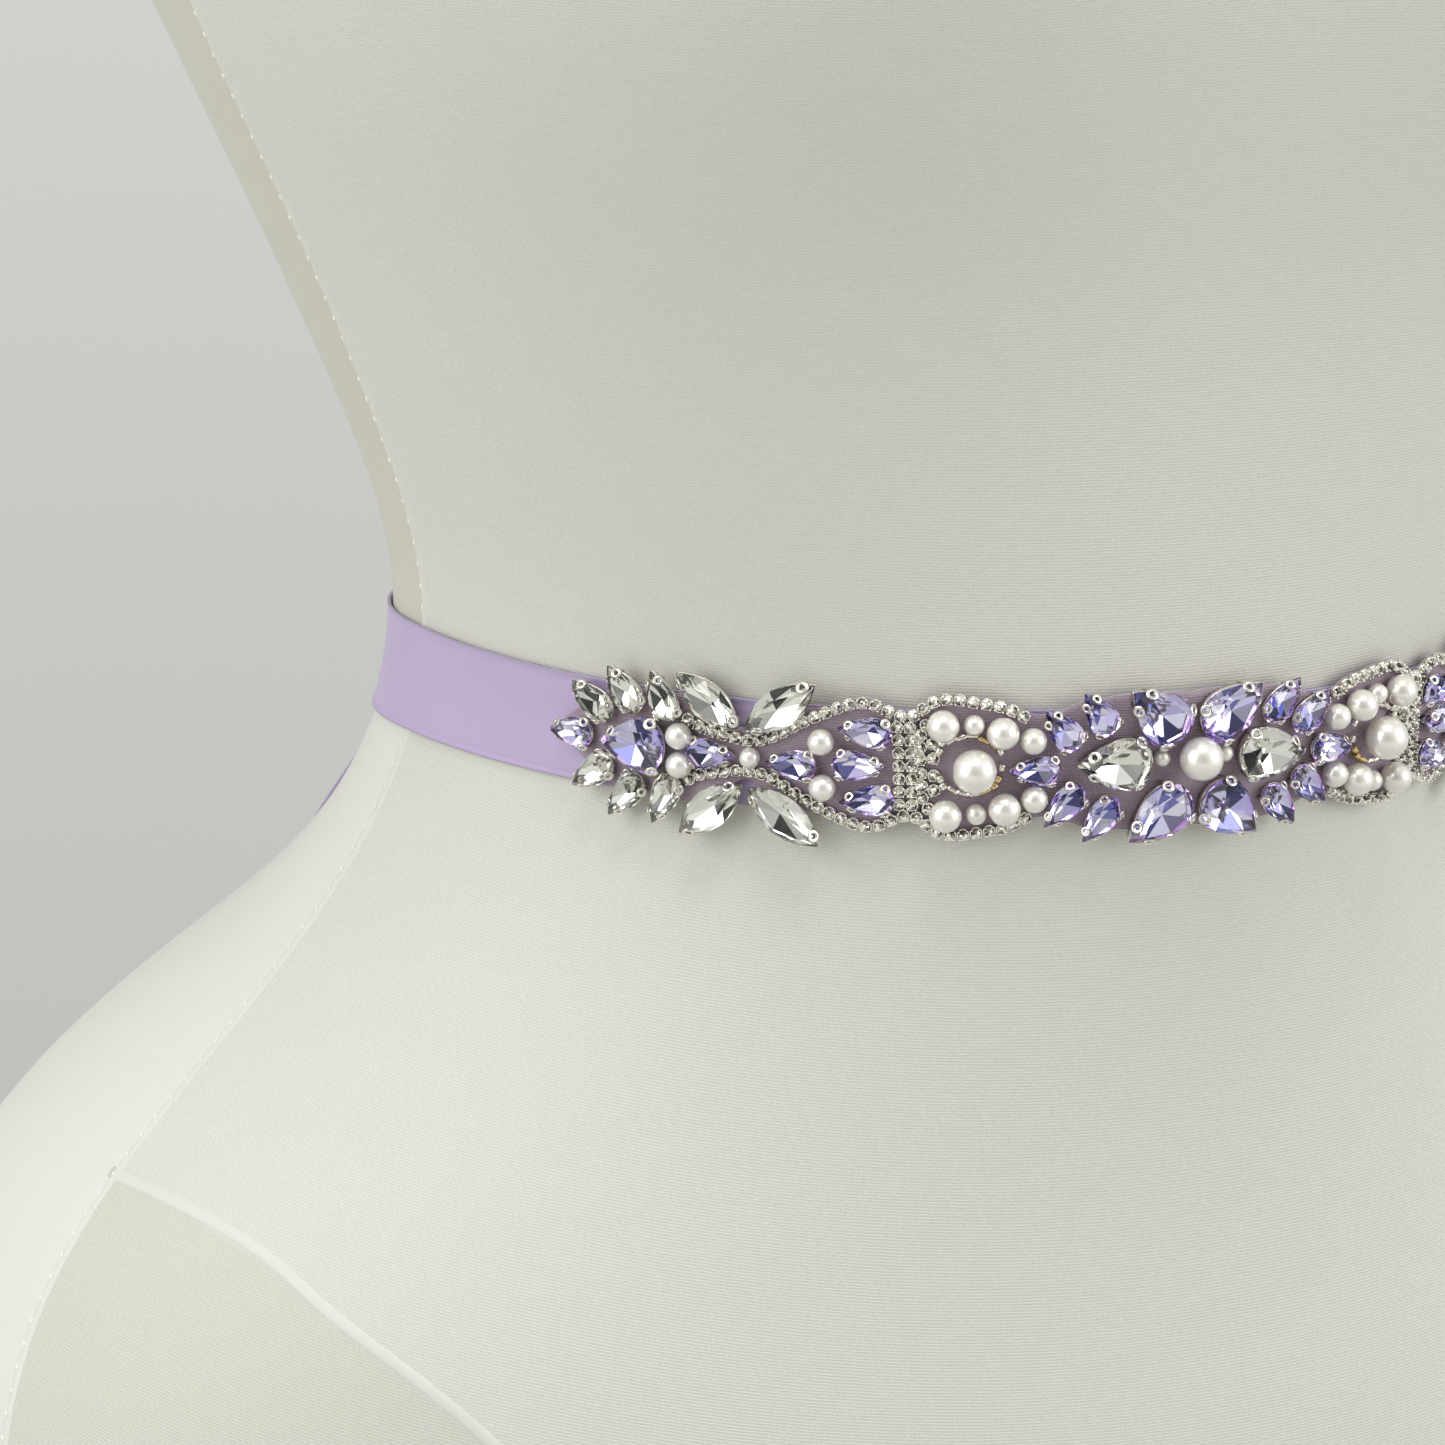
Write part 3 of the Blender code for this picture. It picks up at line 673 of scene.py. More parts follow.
def woven_material(name, colour, row, thread, fibre, mottle, relief, dark, light, glint, groove_shade, **constants):
    """Cloth: the weave group's height as bump, its mottling and its specks as painted glints in the colour,
    and between its rows painted shade, a colour that is darker by the groove_shade share."""
    made, tree, shader = new_material(name, **constants)
    place = node(tree, "TexCoord").outputs["UV"]
    values = {"Vector": place, "Row": row, "Thread": thread, "Fibre": fibre, "Mottle": mottle}
    weave = node(tree, "Group", node_tree=weave_group())
    for key, value in values.items():
        if isinstance(value, bpy.types.NodeSocket):
            tree.links.new(value, weave.inputs[key])
        else:
            weave.inputs[key].default_value = value
    ground = mixed_colour(tree, weave.outputs["Mottle"], rgba(colour, dark), rgba(colour, light))
    rows = node(tree, "MapRange", {"Value": weave.outputs["Height"], "From Min": -1.0, "From Max": 1.0,
                                   "To Min": 0.0, "To Max": 1.0})
    # Painted shade in the grooves between the rows
    shaded = mixed_colour(tree, rows.outputs[0], rgba(colour, dark - groove_shade), ground)
    painted_glints = maths(tree, "MULTIPLY", weave.outputs["Glint"], glint)
    # Painted glints on the brightest fibres, lighter than the lightest mottle
    tree.links.new(mixed_colour(tree, painted_glints, shaded, rgba(colour, light + 0.14)), shader.inputs["Base Color"])
    bump = node(tree, "Bump", {"Height": weave.outputs["Height"], "Distance": relief * MM, "Strength": 1.0})
    tree.links.new(bump.outputs[0], shader.inputs["Normal"])
    return made


def knit_material(sizes, colours):
    """The form's ivory knit: fine rows round the body, with small bright flecks of painted glints. The
    panels behind the side seams are plainer, with painted shade, duller and warmer, above the waist, and
    painted light, paler, below it, and the cloth below the leg line has painted shade, a little darker."""
    made = woven_material(
        "knit_cover", colours.form_cloth, sizes.knit_row, 0.00042, 0.7, 45.0, 0.03, 0.98, 1.04, 0.5, 0.14,
        Roughness=0.55, Sheen_Weight=0.25, Sheen_Roughness=0.4, Specular_IOR_Level=0.4,
    )
    tree = made.node_tree
    shader = tree.nodes["Principled BSDF"]
    knitted = shader.inputs["Base Color"].links[0].from_socket
    bump = tree.nodes["Bump"]
    # Painted shade below the leg line
    below = node(tree, "Attribute", attribute_name="below_leg_line").outputs["Fac"]
    leg = mixed_colour(tree, node(tree, "MapRange", {"Value": below}).outputs[0], (1, 1, 1, 1), rgba(LEG_PAINTED_SHADE))
    knitted = node(tree, "VectorMath", {0: knitted, 1: leg}, operation="MULTIPLY").outputs["Vector"]
    behind = node(tree, "Attribute", attribute_name="behind_seam").outputs["Fac"]
    plain = node(tree, "MapRange", {"Value": behind}).outputs[0]
    level = node(tree, "SeparateXYZ", {0: node(tree, "TexCoord").outputs["Object"]}).outputs["Z"]
    above = maths(tree, "GREATER_THAN", level, WAIST_HEIGHT * MM)
    # The panels' painted light below the waist and painted shade above it
    shades = [rgba(tuple(a * b for a, b in zip(colours.form_cloth, tint))) for tint in (PANEL_PAINTED_LIGHT_BELOW, PANEL_PAINTED_SHADE_ABOVE)]
    panel = mixed_colour(tree, above, *shades)
    tree.links.new(mixed_colour(tree, plain, knitted, panel), shader.inputs["Base Color"])
    smooth = maths(tree, "SUBTRACT", 1.0, maths(tree, "MULTIPLY", plain, PANEL_PLAINNESS))
    tree.links.new(maths(tree, "MULTIPLY", bump.inputs["Height"].links[0].from_socket, smooth), bump.inputs["Height"])
    return made


def ribbon_material(sizes, colours):
    """Lavender satin: very fine weft, a soft gloss, a wide mottle of painted satin sheen, a stitched line
    inside each selvedge, and painted shade along both edges. V is the distance from the ribbon's centre line."""
    # The wide mottle, from 0.86 to 1.17, is painted satin sheen
    made = woven_material(
        "satin_ribbon", colours.ribbon, 0.00028, 0.00022, 0.35, 26.0, 0.004, 0.86, 1.17, 0.12, 0.03,
        Roughness=0.42, Sheen_Weight=0.35, Sheen_Roughness=0.35, Specular_IOR_Level=0.45,
    )
    tree = made.node_tree
    shader = tree.nodes["Principled BSDF"]
    cloth = shader.inputs["Base Color"].links[0].from_socket
    parts = node(tree, "SeparateXYZ", {0: node(tree, "TexCoord").outputs["UV"]}).outputs
    inside = maths(tree, "SUBTRACT", 0.5 * sizes.ribbon_width, maths(tree, "ABSOLUTE", parts["Y"]))
    off_line = maths(tree, "ABSOLUTE", maths(tree, "SUBTRACT", inside, RIBBON_STITCH_IN * MM))
    line = maths(tree, "LESS_THAN", off_line, 0.5 * RIBBON_STITCH_WIDTH * MM)
    dash = maths(tree, "SINE", maths(tree, "MULTIPLY", parts["X"], 2 * math.pi / (RIBBON_STITCH_PITCH * MM)))
    dashed = maths(tree, "MULTIPLY", line, maths(tree, "GREATER_THAN", dash, -0.3))
    # Painted shade along both edges of the ribbon
    painted_edge_shade = maths(tree, "LESS_THAN", inside, RIBBON_EDGE_SHADE_WIDTH * MM)
    stitches_and_edge_shade = maths(tree, "MAXIMUM", maths(tree, "MULTIPLY", dashed, 0.5), maths(tree, "MULTIPLY", painted_edge_shade, 0.8))
    tree.links.new(mixed_colour(tree, stitches_and_edge_shade, cloth, rgba(colours.ribbon, 0.74)), shader.inputs["Base Color"])
    return made


def backing_material(colours):
    """The applique's stiff mauve gauze."""
    return woven_material(
        "mauve_backing", colours.backing, 0.0005, 0.0005, 0.8, 120.0, 0.06, 0.82, 1.12, 0.35, 0.10,
        Roughness=0.75, Sheen_Weight=0.3,
    )


def pearl_material(colours):
    """Glass pearl: a soft body colour under a clear, sharp coat, with a little uneven nacre."""
    made, tree, shader = new_material(
        "glass_pearl", Roughness=0.3, Metallic=0.5, Coat_Weight=0.9, Coat_Roughness=0.1, Coat_IOR=1.6,
        Specular_IOR_Level=0.5,
    )
    place = node(tree, "TexCoord").outputs["Object"]
    nacre = node(tree, "TexNoise", {"Vector": place, "Scale": 420.0, "Detail": 3.0})
    warm = tuple(a * b for a, b in zip(colours.pearl, (1.0, 0.965, 0.90)))
    colour = mixed_colour(tree, nacre.outputs["Fac"], rgba(colours.pearl), rgba(warm))
    tree.links.new(colour, shader.inputs["Base Color"])
    dents = node(tree, "TexNoise", {"Vector": place, "Scale": 1400.0, "Detail": 2.0})
    bump = node(tree, "Bump", {"Height": dents.outputs["Fac"], "Distance": 0.02 * MM, "Strength": 0.6})
    tree.links.new(bump.outputs[0], shader.inputs["Normal"])
    return made


def crystal_material(name, tint):
    """The clear glass of a stone's crown."""
    made, tree, shader = new_material(name, Roughness=0.0, IOR=1.55, Transmission_Weight=1.0)
    shader.inputs["Base Color"].default_value = rgba(tint)
    return made


def foil_material(name, roughness):
    """The mirrored facets under a stone, each in its own tint with a painted reflection, light or dark."""
    made, tree, shader = new_material(name, Metallic=0.92, Roughness=roughness)
    tint_and_painted_reflection = node(tree, "VertexColor", layer_name="tint_and_painted_reflection").outputs["Color"]
    tree.links.new(tint_and_painted_reflection, shader.inputs["Base Color"])
    return made


def metal_material(name, colour, roughness):
    """Plated metal with small scratches and handling marks."""
    made, tree, shader = new_material(name, Metallic=1.0)
    place = node(tree, "TexCoord").outputs["Object"]
    wear = node(tree, "TexNoise", {"Vector": place, "Scale": 900.0, "Detail": 4.0})
    tree.links.new(
        mixed_colour(tree, wear.outputs["Fac"], rgba(colour, 0.85), rgba(colour, 1.1)), shader.inputs["Base Color"])
    spread = node(tree, "MapRange", {"Value": wear.outputs["Fac"], "To Min": roughness * 0.6,
                                     "To Max": roughness * 1.6})
    tree.links.new(spread.outputs[0], shader.inputs["Roughness"])
    return made


def painted_material(name, colour):
    """Plain ivory paint for the form's neck cap and base."""
    made, tree, shader = new_material(name, Roughness=0.5)
    place = node(tree, "TexCoord").outputs["Object"]
    grain = node(tree, "TexNoise", {"Vector": place, "Scale": 90.0, "Detail": 5.0})
    tree.links.new(
        mixed_colour(tree, grain.outputs["Fac"], rgba(colour, 0.94), rgba(colour, 1.02)), shader.inputs["Base Color"])
    bump = node(tree, "Bump", {"Height": grain.outputs["Fac"], "Distance": 0.1 * MM, "Strength": 0.5})
    tree.links.new(bump.outputs[0], shader.inputs["Normal"])
    return made


# The form

def run_along(points, axis):
    """Length run along an axis of a grid of points, starting at 0."""
    steps = np.linalg.norm(np.diff(points, axis=axis), axis=-1)
    start = np.zeros_like(np.take(steps, [0], axis=axis))
    return np.concatenate([start, np.cumsum(steps, axis=axis)], axis=axis)


def build_cover(sizes, colours):
    """The knit cover: the form's own surface on turns x heights, its wall set inwards. U is the run
    round the body from the centre back, and V the run up it, counted from the waist."""
    turns = 0.5 * math.pi + np.linspace(0, 2 * math.pi, COVER_STATIONS + 1)
    heights = np.linspace(0, FORM_TOP, COVER_LEVELS + 1)
    points = on_body(turns[:, None], heights[None])
    up_run = run_along(points, 1)
    waist = np.array([np.interp(WAIST_HEIGHT, heights, row) for row in up_run])
    uv = np.stack([run_along(points, 0), up_run - waist[:, None]], axis=-1)
    cover = cloth_grid("form_cover", points[:-1], uv, knit_material(sizes, colours), closed=True)
    seam = natural_curve(*np.array(SIDE_SEAM, float).T)
    from_front = np.abs(np.degrees(turns[:-1]) % 360 - 270)
    leg_top = np.interp(-90 - from_front, *np.array(LEG_LINE, float).T)
    places = {
        "behind_seam": points[:-1, :, 1] - AXIS_Y - seam(heights),
        "below_leg_line": leg_top[:, None] - heights,
    }
    for name, distance in places.items():
        held = cover.data.attributes.new(name, "FLOAT", "POINT")
        held.data.foreach_set("value", distance.ravel().astype(np.float32))
    thicken(cover, COVER_THICKNESS, -1)
    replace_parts(cover, "dress_form")


def build_ends(colours):
    """The neck cap, a low dome on the neck's outline, and the base, a flat board inside the cover."""
    paint = painted_material("ivory_paint", colours.form_cloth)
    turns = np.linspace(0, 2 * math.pi, 96, endpoint=False)
    neck = on_body(turns, FORM_TOP)
    middle = np.array([0, neck[:, 1].mean(), 0])
    rise = ((0.995, -1.2), (1.0, -0.4), (1.0, 0.5), (0.985, 1.4), (0.94, 2.0), (0.7, 3.0), (0.35, 3.7))
    rings = [(neck - middle) * (share, share, 1) + middle + (0, 0, lift) for share, lift in rise]
    small_parts("neck_cap", ring_loft(np.array(rings)), [paint])
    foot = on_body(turns, 0.0)
    middle = np.array([0, foot[:, 1].mean(), 0])
    levels = ((0.985, 0.0), (0.992, 1.0), (0.992, 6.0), (0.985, 7.0))
    rings = [(foot - middle) * (share, share, 1) + middle + (0, 0, lift) for share, lift in levels]
    small_parts("form_base", ring_loft(np.array(rings)), [paint], smooth=False)


def side_turn(height, behind):
    """The turn on the right side at a distance behind the form's axis (negative is in front)."""
    depth = np.where(behind < 0, FRONT_DEPTH(height), BACK_DEPTH(height))
    return np.sign(behind) * np.arcsin((np.abs(behind) / depth) ** (SECTION_POWER / 2))


def seam_places(side):
    """(turn, height) along the side seam and the leg line of one side."""
    seam = even_path(SIDE_SEAM, 2.5)
    turns = side_turn(seam[:, 0], seam[:, 1])
    leg = even_path(np.array(LEG_LINE) * (2.0, 1.0), 2.5) * (0.5, 1.0)
    leg_turns = math.pi + np.radians(leg[:, 0])
    turns = turns if side > 0 else math.pi - turns
    leg_turns = -leg_turns if side > 0 else math.pi + leg_turns
    return (turns, seam[:, 0]), (leg_turns, leg[:, 1])


def welt(turns, heights, profile):
    """A ridge carried along a line on the form: the profile's (side, out) pairs in each frame."""
    frames = path_frames(on_body(turns, heights), body_normal(turns, heights))
    profile = np.asarray(profile, float)
    local = np.c_[np.zeros(len(profile)), profile]
    rings = np.einsum("fij,pj->fpi", frames[:, :3, :3], local) + frames[:, None, :3, 3]
    return ring_loft(rings), frames


def stitch_shape(length, width):
    """One stitch: a short thread, thick in the middle and tapered at its ends."""
    place = np.linspace(-1, 1, 5)
    angle = np.arange(6) * math.pi / 3
    radius = 0.5 * width * np.sqrt(np.clip(1.05 - place**2, 0, None))
    ring = np.stack([0 * angle, np.cos(angle), np.sin(angle)], axis=-1)
    rings = ring[None] * radius[:, None, None] + np.array([1, 0, 0]) * (place * length / 2)[:, None, None]
    return ring_loft(rings)


def build_seams(sizes, colours):
    """Side seams and leg lines as low welts on the cover, with a row of stitches on the side seams."""
    welts, stitches = [], []
    for side in (-1, 1):
        (turns, heights), (leg_turns, leg_heights) = seam_places(side)
        front = -side
        lap = np.array([(-1.3, -0.25), (-0.9, 0.02), (-0.25, 0.30), (0.45, 0.32), (0.75, 0.1), (0.8, -0.25)])
        lap = lap * (front, 1)
        lap = lap if front > 0 else lap[::-1]
        shape, frames = welt(turns, heights, lap[::-1])
        welts.append(shape)
        soft = np.array([(1.6, -0.25), (0.9, 0.10), (0.3, 0.24), (-0.3, 0.24), (-0.9, 0.10), (-1.6, -0.25)])
        welts.append(welt(leg_turns, leg_heights, soft)[0])
        run = run_along(frames[:, :3, 3], 0)
        count = int(run[-1] / sizes.stitch_pitch / 1000)
        place = (np.arange(count) + 0.5) * run[-1] / count
        turn_here = np.interp(place, run, turns)
        height_here = np.interp(place, run, heights)
        here = path_frames(on_body(turn_here, height_here), body_normal(turn_here, height_here))
        here[:, :3, 3] += here[:, :3, 1] * front * 0.15 + here[:, :3, 2] * 0.33
        lean = np.radians(28) * front
        turned = here.copy()
        turned[:, :3, 0] = here[:, :3, 0] * math.cos(lean) + here[:, :3, 1] * math.sin(lean)
        turned[:, :3, 1] = -here[:, :3, 0] * math.sin(lean) + here[:, :3, 1] * math.cos(lean)
        stitches.append(repeated(*stitch_shape(1.1, 0.5), turned))
    cloth = painted_material("seam_cloth", colours.form_cloth)
    small_parts("form_seams", joined(welts), [cloth])
    thread = painted_material("seam_thread", tuple(1.3 * c for c in colours.form_cloth))
    small_parts("form_stitches", joined(stitches), [thread])


# The ribbon and the bow

def build_ribbon(sizes, colours, material):
    """The two halves of the waist band, each a sheet on distance x height, with raised selvedges."""
    half = 0.5 * sizes.ribbon_width / MM
    rows = half * np.array([-1, -0.985, -0.955, -0.92, -0.87, -0.6, -0.2, 0.2, 0.6, 0.87, 0.92, 0.955, 0.985, 1])
    edge = np.abs(rows) / half
    selvedge = 0.10 * (edge > 0.95) - 0.06 * (np.abs(edge - 0.92) < 0.02)
    halves = (("right", 0.5 * SEAM_GAP, RIBBON_RUN[-1] - 0.5 * SEAM_GAP),
              ("left", RIBBON_RUN[0] + 0.5 * SEAM_GAP, -0.5 * SEAM_GAP))
    for name, first, last in halves:
        distance = np.linspace(first, last, 200)[:, None]
        wave = 0.10 * np.sin(distance / 11.3) * (rows / half) ** 3 + 0.06 * np.sin(distance / 6.1 + 1) * edge
        points = on_sash(distance + 0 * rows, rows + 0 * distance, RIBBON_INNER + 0.1 + selvedge + wave)
        uv = np.stack(np.broadcast_arrays(distance, rows), axis=-1)
        ribbon = cloth_grid(f"ribbon_band_{name}", points, uv, material)
        thicken(ribbon, sizes.ribbon_thickness / MM, 1)
        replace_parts(ribbon, f"ribbon_{name}")


def bow_middle():
    """The middle of the bow's knot."""
    return off_body(0.5 * math.pi, ribbon_height(np.array(0.5 * math.pi)), KNOT_INNER + 0.5 * KNOT_SIZE[1])


def build_knot(sizes, material):
    """The knot: a short length of ribbon round the bow's middle. Its section is a superellipse in the
    upright plane, and creases that run round it are ripples across its width."""
    width, depth, tall = KNOT_SIZE
    angle = np.linspace(0, 2 * math.pi, 61)
    across = np.linspace(-1, 1, 41)
    crease = 0.55 * np.sin(across * 7.3 + 0.6) + 0.35 * np.sin(across * 15.1 + 2.0) + 0.25 * np.sin(across * 23)
    swell = 1 - 0.10 * np.abs(across) ** 3 - 0.05 * np.cos(across * 2.2)
    cos, sin = np.cos(angle)[:, None], np.sin(angle)[:, None]
    power = 2 / 2.6
    uneven = 1 + 0.25 * np.sin(angle * 2 + 0.7)[:, None]
    reach_y = (0.5 * depth - 0.7) * swell + crease * uneven * 0.6
    reach_z = (0.5 * tall - 0.7) * (1 - 0.08 * np.cos(across * 1.9)) + crease * 0.35
    y = np.sign(cos) * np.abs(cos) ** power * reach_y
    z = np.sign(sin) * np.abs(sin) ** power * reach_z
    x = across * (0.5 * width - 0.4) + 0.35 * np.sin(angle * 3)[:, None] + 0 * y
    points = np.stack([x, y, z], axis=-1) + bow_middle()
    uv = np.stack([run_along(points, 0), across * 0.5 * width + 0 * y], axis=-1)
    knot = cloth_grid("bow_knot_wrap", points[:-1], uv, material, closed=True)
    thicken(knot, 0.5, 1)
    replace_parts(knot, "bow_knot")


def build_loop(side_name, side, sizes, material):
    """A bow loop: a pear outline in plan with its tip in the knot, swept up by the ribbon's width.
    Its end leans, so that its upper edge reaches further out. Gathers start at the knot and fade
    outwards, as ripples across the width."""
    angles = np.linspace(LOOP_ROOT_ANGLE, 2 * math.pi - LOOP_ROOT_ANGLE, 91)
    root = 0.5 * KNOT_SIZE[0] + SEAM_GAP
    reach = LOOP_REACH - root
    first = 0.5 * (1 - math.cos(LOOP_ROOT_ANGLE))
    share = np.clip((0.5 * (1 - np.cos(angles)) - first) / (1 - first), 0, 1)[:, None]
    bulge = 0.5 * LOOP_DEPTH / PEAR_HALF_WIDTH * (np.sin(angles) * np.sin(angles / 2))[:, None]
    width = LOOP_ROOT_WIDTH + (sizes.ribbon_width / MM - LOOP_ROOT_WIDTH) * np.sqrt(share)
    middle = bow_middle()
    rows = np.linspace(-0.5, 0.5, 17)
    gather = 0.9 * np.sin(rows * 19 + 0.8) + 0.5 * np.sin(rows * 31 + 2.2)
    fold = 0.55 * (1 - share) ** 1.5 * gather
    soft = 0.3 * np.sin(share * 9 + 1.3 * side) * np.sin(rows * 3.2 + 0.5)
    x = side * (root + reach * share * (1 - LOOP_SLANT * (0.5 - rows)))
    y = middle[1] - bulge - LOOP_BACK * share**2 - np.sign(bulge) * (fold + soft)
    z = middle[2] + LOOP_RISE * share**1.5 + width * rows
    points = np.stack([x, y, z], axis=-1)
    tuck = np.array([side * 4.5, 0, 0])
    points = np.concatenate([points[:1] - tuck, points, points[-1:] - tuck])
    if side < 0:
        points = points[::-1]
    run = run_along(points, 0)
    uv = np.stack([run, sizes.ribbon_width / MM * rows + 0 * run], axis=-1)
    loop = cloth_grid(f"bow_loop_cloth_{side_name}", points, uv, material)
    thicken(loop, 0.5, 1)
    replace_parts(loop, f"bow_loop_{side_name}")


def back_turn(out, height):
    """The turn on the back at a distance out from the middle, towards +X when positive."""
    share = np.clip(np.abs(out) / HALF_WIDTH(height), 0, 1) ** (SECTION_POWER / 2)
    return np.where(out >= 0, np.arccos(share), math.pi - np.arccos(share))


def build_tail(side_name, side, sizes, material):
    """A bow tail: the ribbon's width carried along a path down the back, with slow waves, a gathered
    root that runs up into the knot, and its end cut on a slant. Its width is laid once, measured on
    the form's slope, and laid again so that the ribbon keeps its true width."""
    table = np.array((TAIL_IN_KNOT, *TAIL_PATH), float)
    run = np.concatenate([[0], np.cumsum(np.linalg.norm(np.diff(table, axis=0), axis=1))])
    run = run - run[1]
    place = np.linspace(run[0], run[-1], 123)
    out, drop = natural_curve(run, table[:, 0])(place), natural_curve(run, table[:, 1])(place)
    toward = unit(np.stack([np.gradient(out, place), np.gradient(drop, place)], axis=-1))
    full = sizes.ribbon_width / MM
    width = TAIL_ROOT_WIDTH + (full - TAIL_ROOT_WIDTH) * np.clip(place / TAIL_SPREAD_OVER, 0, 1) ** 0.8
    rows = np.linspace(-0.5, 0.5, 15)
    slant = TAIL_END_SLANT * np.clip((place - run[-1]) / full + 1, 0, 1)[:, None] * rows
    beyond = np.clip(place - TAIL_WAVE_FROM, 0, None)
    wave = TAIL_WAVE * (1 - np.cos(2 * math.pi * beyond / TAIL_WAVE_LENGTH))[:, None]
    gather = 0.5 * np.clip(1 - place / 26, 0, 1)[:, None] * (1 + np.sin(rows * 24 + side))
    curl = 0.5 * (2 * rows) ** 2 * (0.5 + 0.5 * np.sin(place / 17 + 2 * side))[:, None]

    def laid(spread):
        """The tail's points on the form, its rows spread over a width for each station."""
        across_out = out[:, None] + toward[:, 1:] * spread[:, None] * rows + toward[:, :1] * slant
        across_drop = drop[:, None] - toward[:, :1] * spread[:, None] * rows + toward[:, 1:] * slant
        height = WAIST_HEIGHT - across_drop
        return off_body(back_turn(side * across_out, height), height, TAIL_LIFT + wave + gather + curl)

    on_slope = np.linalg.norm(np.diff(laid(width), axis=1), axis=-1).sum(axis=1)
    points = laid(width * np.clip(width / on_slope, 0.7, 1.0))
    steps = np.linalg.norm(np.diff(points[:, 7], axis=0), axis=-1)
    uv = np.stack([place[:, None] + 0 * rows, full * rows + 0 * place[:, None]], axis=-1)
    if side > 0:
        points, uv = points[::-1], uv[::-1]
    tail = cloth_grid(f"bow_tail_cloth_{side_name}", points, uv, material)
    thicken(tail, 0.5, 1)
    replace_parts(tail, f"bow_tail_{side_name}")


# The applique

def build_backing(material):
    """The three stretches of stiff backing, each a sheet on distance x height whose half height
    follows the outline table, with a low ripple towards its edges."""
    table = np.array(BACKING_OUTLINE, float)
    half_height = natural_curve(table[:, 0], table[:, 1])
    half_gap = 0.5 * SEAM_GAP
    stretches = {
        "centre": (-CLUSTER_SEAM + half_gap, CLUSTER_SEAM - half_gap),
        "left": (-table[-1, 0], -CLUSTER_SEAM - half_gap),
        "right": (CLUSTER_SEAM + half_gap, table[-1, 0]),
    }
    rows = np.linspace(-1, 1, 25)
    for cluster, (first, last) in stretches.items():
        distance = np.linspace(first, last, round(last - first) + 1)[:, None]
        reach = half_height(np.abs(distance))
        ripple = 0.14 * rows**4 * np.sin(distance * 1.1 + rows)
        points = on_applique(distance + 0 * rows, reach * rows, BACKING_INNER + 0.2 + ripple)
        uv = np.stack(np.broadcast_arrays(distance, reach * rows), axis=-1)
        backing = cloth_grid(f"backing_{cluster}", points, uv, material)
        thicken(backing, 0.5, 1)
        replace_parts(backing, f"applique_{cluster}")
        area = 2 * np.trapz(half_height(np.abs(distance[:, 0])), distance[:, 0]) * MM * MM


def stone_outline(kind, angle):
    """A stone's edge round its middle, of length 1 and width 1, with its tip at +X. A pear is
    (cos a / 2, sin a |sin a/2| / 1.54), and a navette (cos a / 2, sin a |sin a| / 2)."""
    if kind == "pear":
        across = np.sin(angle) * np.abs(np.sin(angle / 2)) / (2 * PEAR_HALF_WIDTH)
        return np.stack([0.5 * np.cos(angle), across], axis=-1)
    return np.stack([0.5 * np.cos(angle), 0.5 * np.sin(angle) * np.abs(np.sin(angle))], axis=-1)


def outline_frame(kind, size, angle):
    """Points on a stone's edge, with the directions along it and out of it."""
    step = 0.02
    edge = stone_outline(kind, angle) * size
    along = unit(stone_outline(kind, angle + step) * size - stone_outline(kind, angle - step) * size)
    return edge, along, np.stack([along[:, 1], -along[:, 0]], axis=-1)


GIRDLE_SHARE = 0.46
TABLE_SHARE = 0.68
PAVILION_SHARE = 0.80
PAVILION_LEVEL = 0.50
FACET_TINTS_AND_PAINTED_REFLECTIONS = {
    # painted reflections in the stone's tint: the big facets under the table, in the order they repeat, then those
    # near the edge
    "lavender": (
        ((0.78, 0.80, 1.0), (0.92, 0.94, 1.0), (0.66, 0.66, 1.0), (0.04, 0.05, 0.18),
         (0.84, 0.88, 1.0), (0.72, 0.70, 1.0), (0.96, 0.98, 1.0), (0.20, 0.22, 0.55)),
        ((0.76, 0.50, 1.0), (0.92, 0.76, 1.0), (0.62, 0.42, 1.0), (1.0, 0.88, 1.0)),
    ),
    "clear": (
        ((1.0, 0.99, 0.93), (0.95, 0.95, 0.87), (1.0, 1.0, 0.98), (0.05, 0.06, 0.05),
         (1.0, 1.0, 0.93), (0.70, 0.71, 0.66), (1.0, 1.0, 0.97), (0.92, 0.93, 0.88)),
        ((1.0, 0.99, 0.92), (0.92, 0.91, 0.83), (1.0, 1.0, 0.96), (0.50, 0.50, 0.45)),
    ),
}


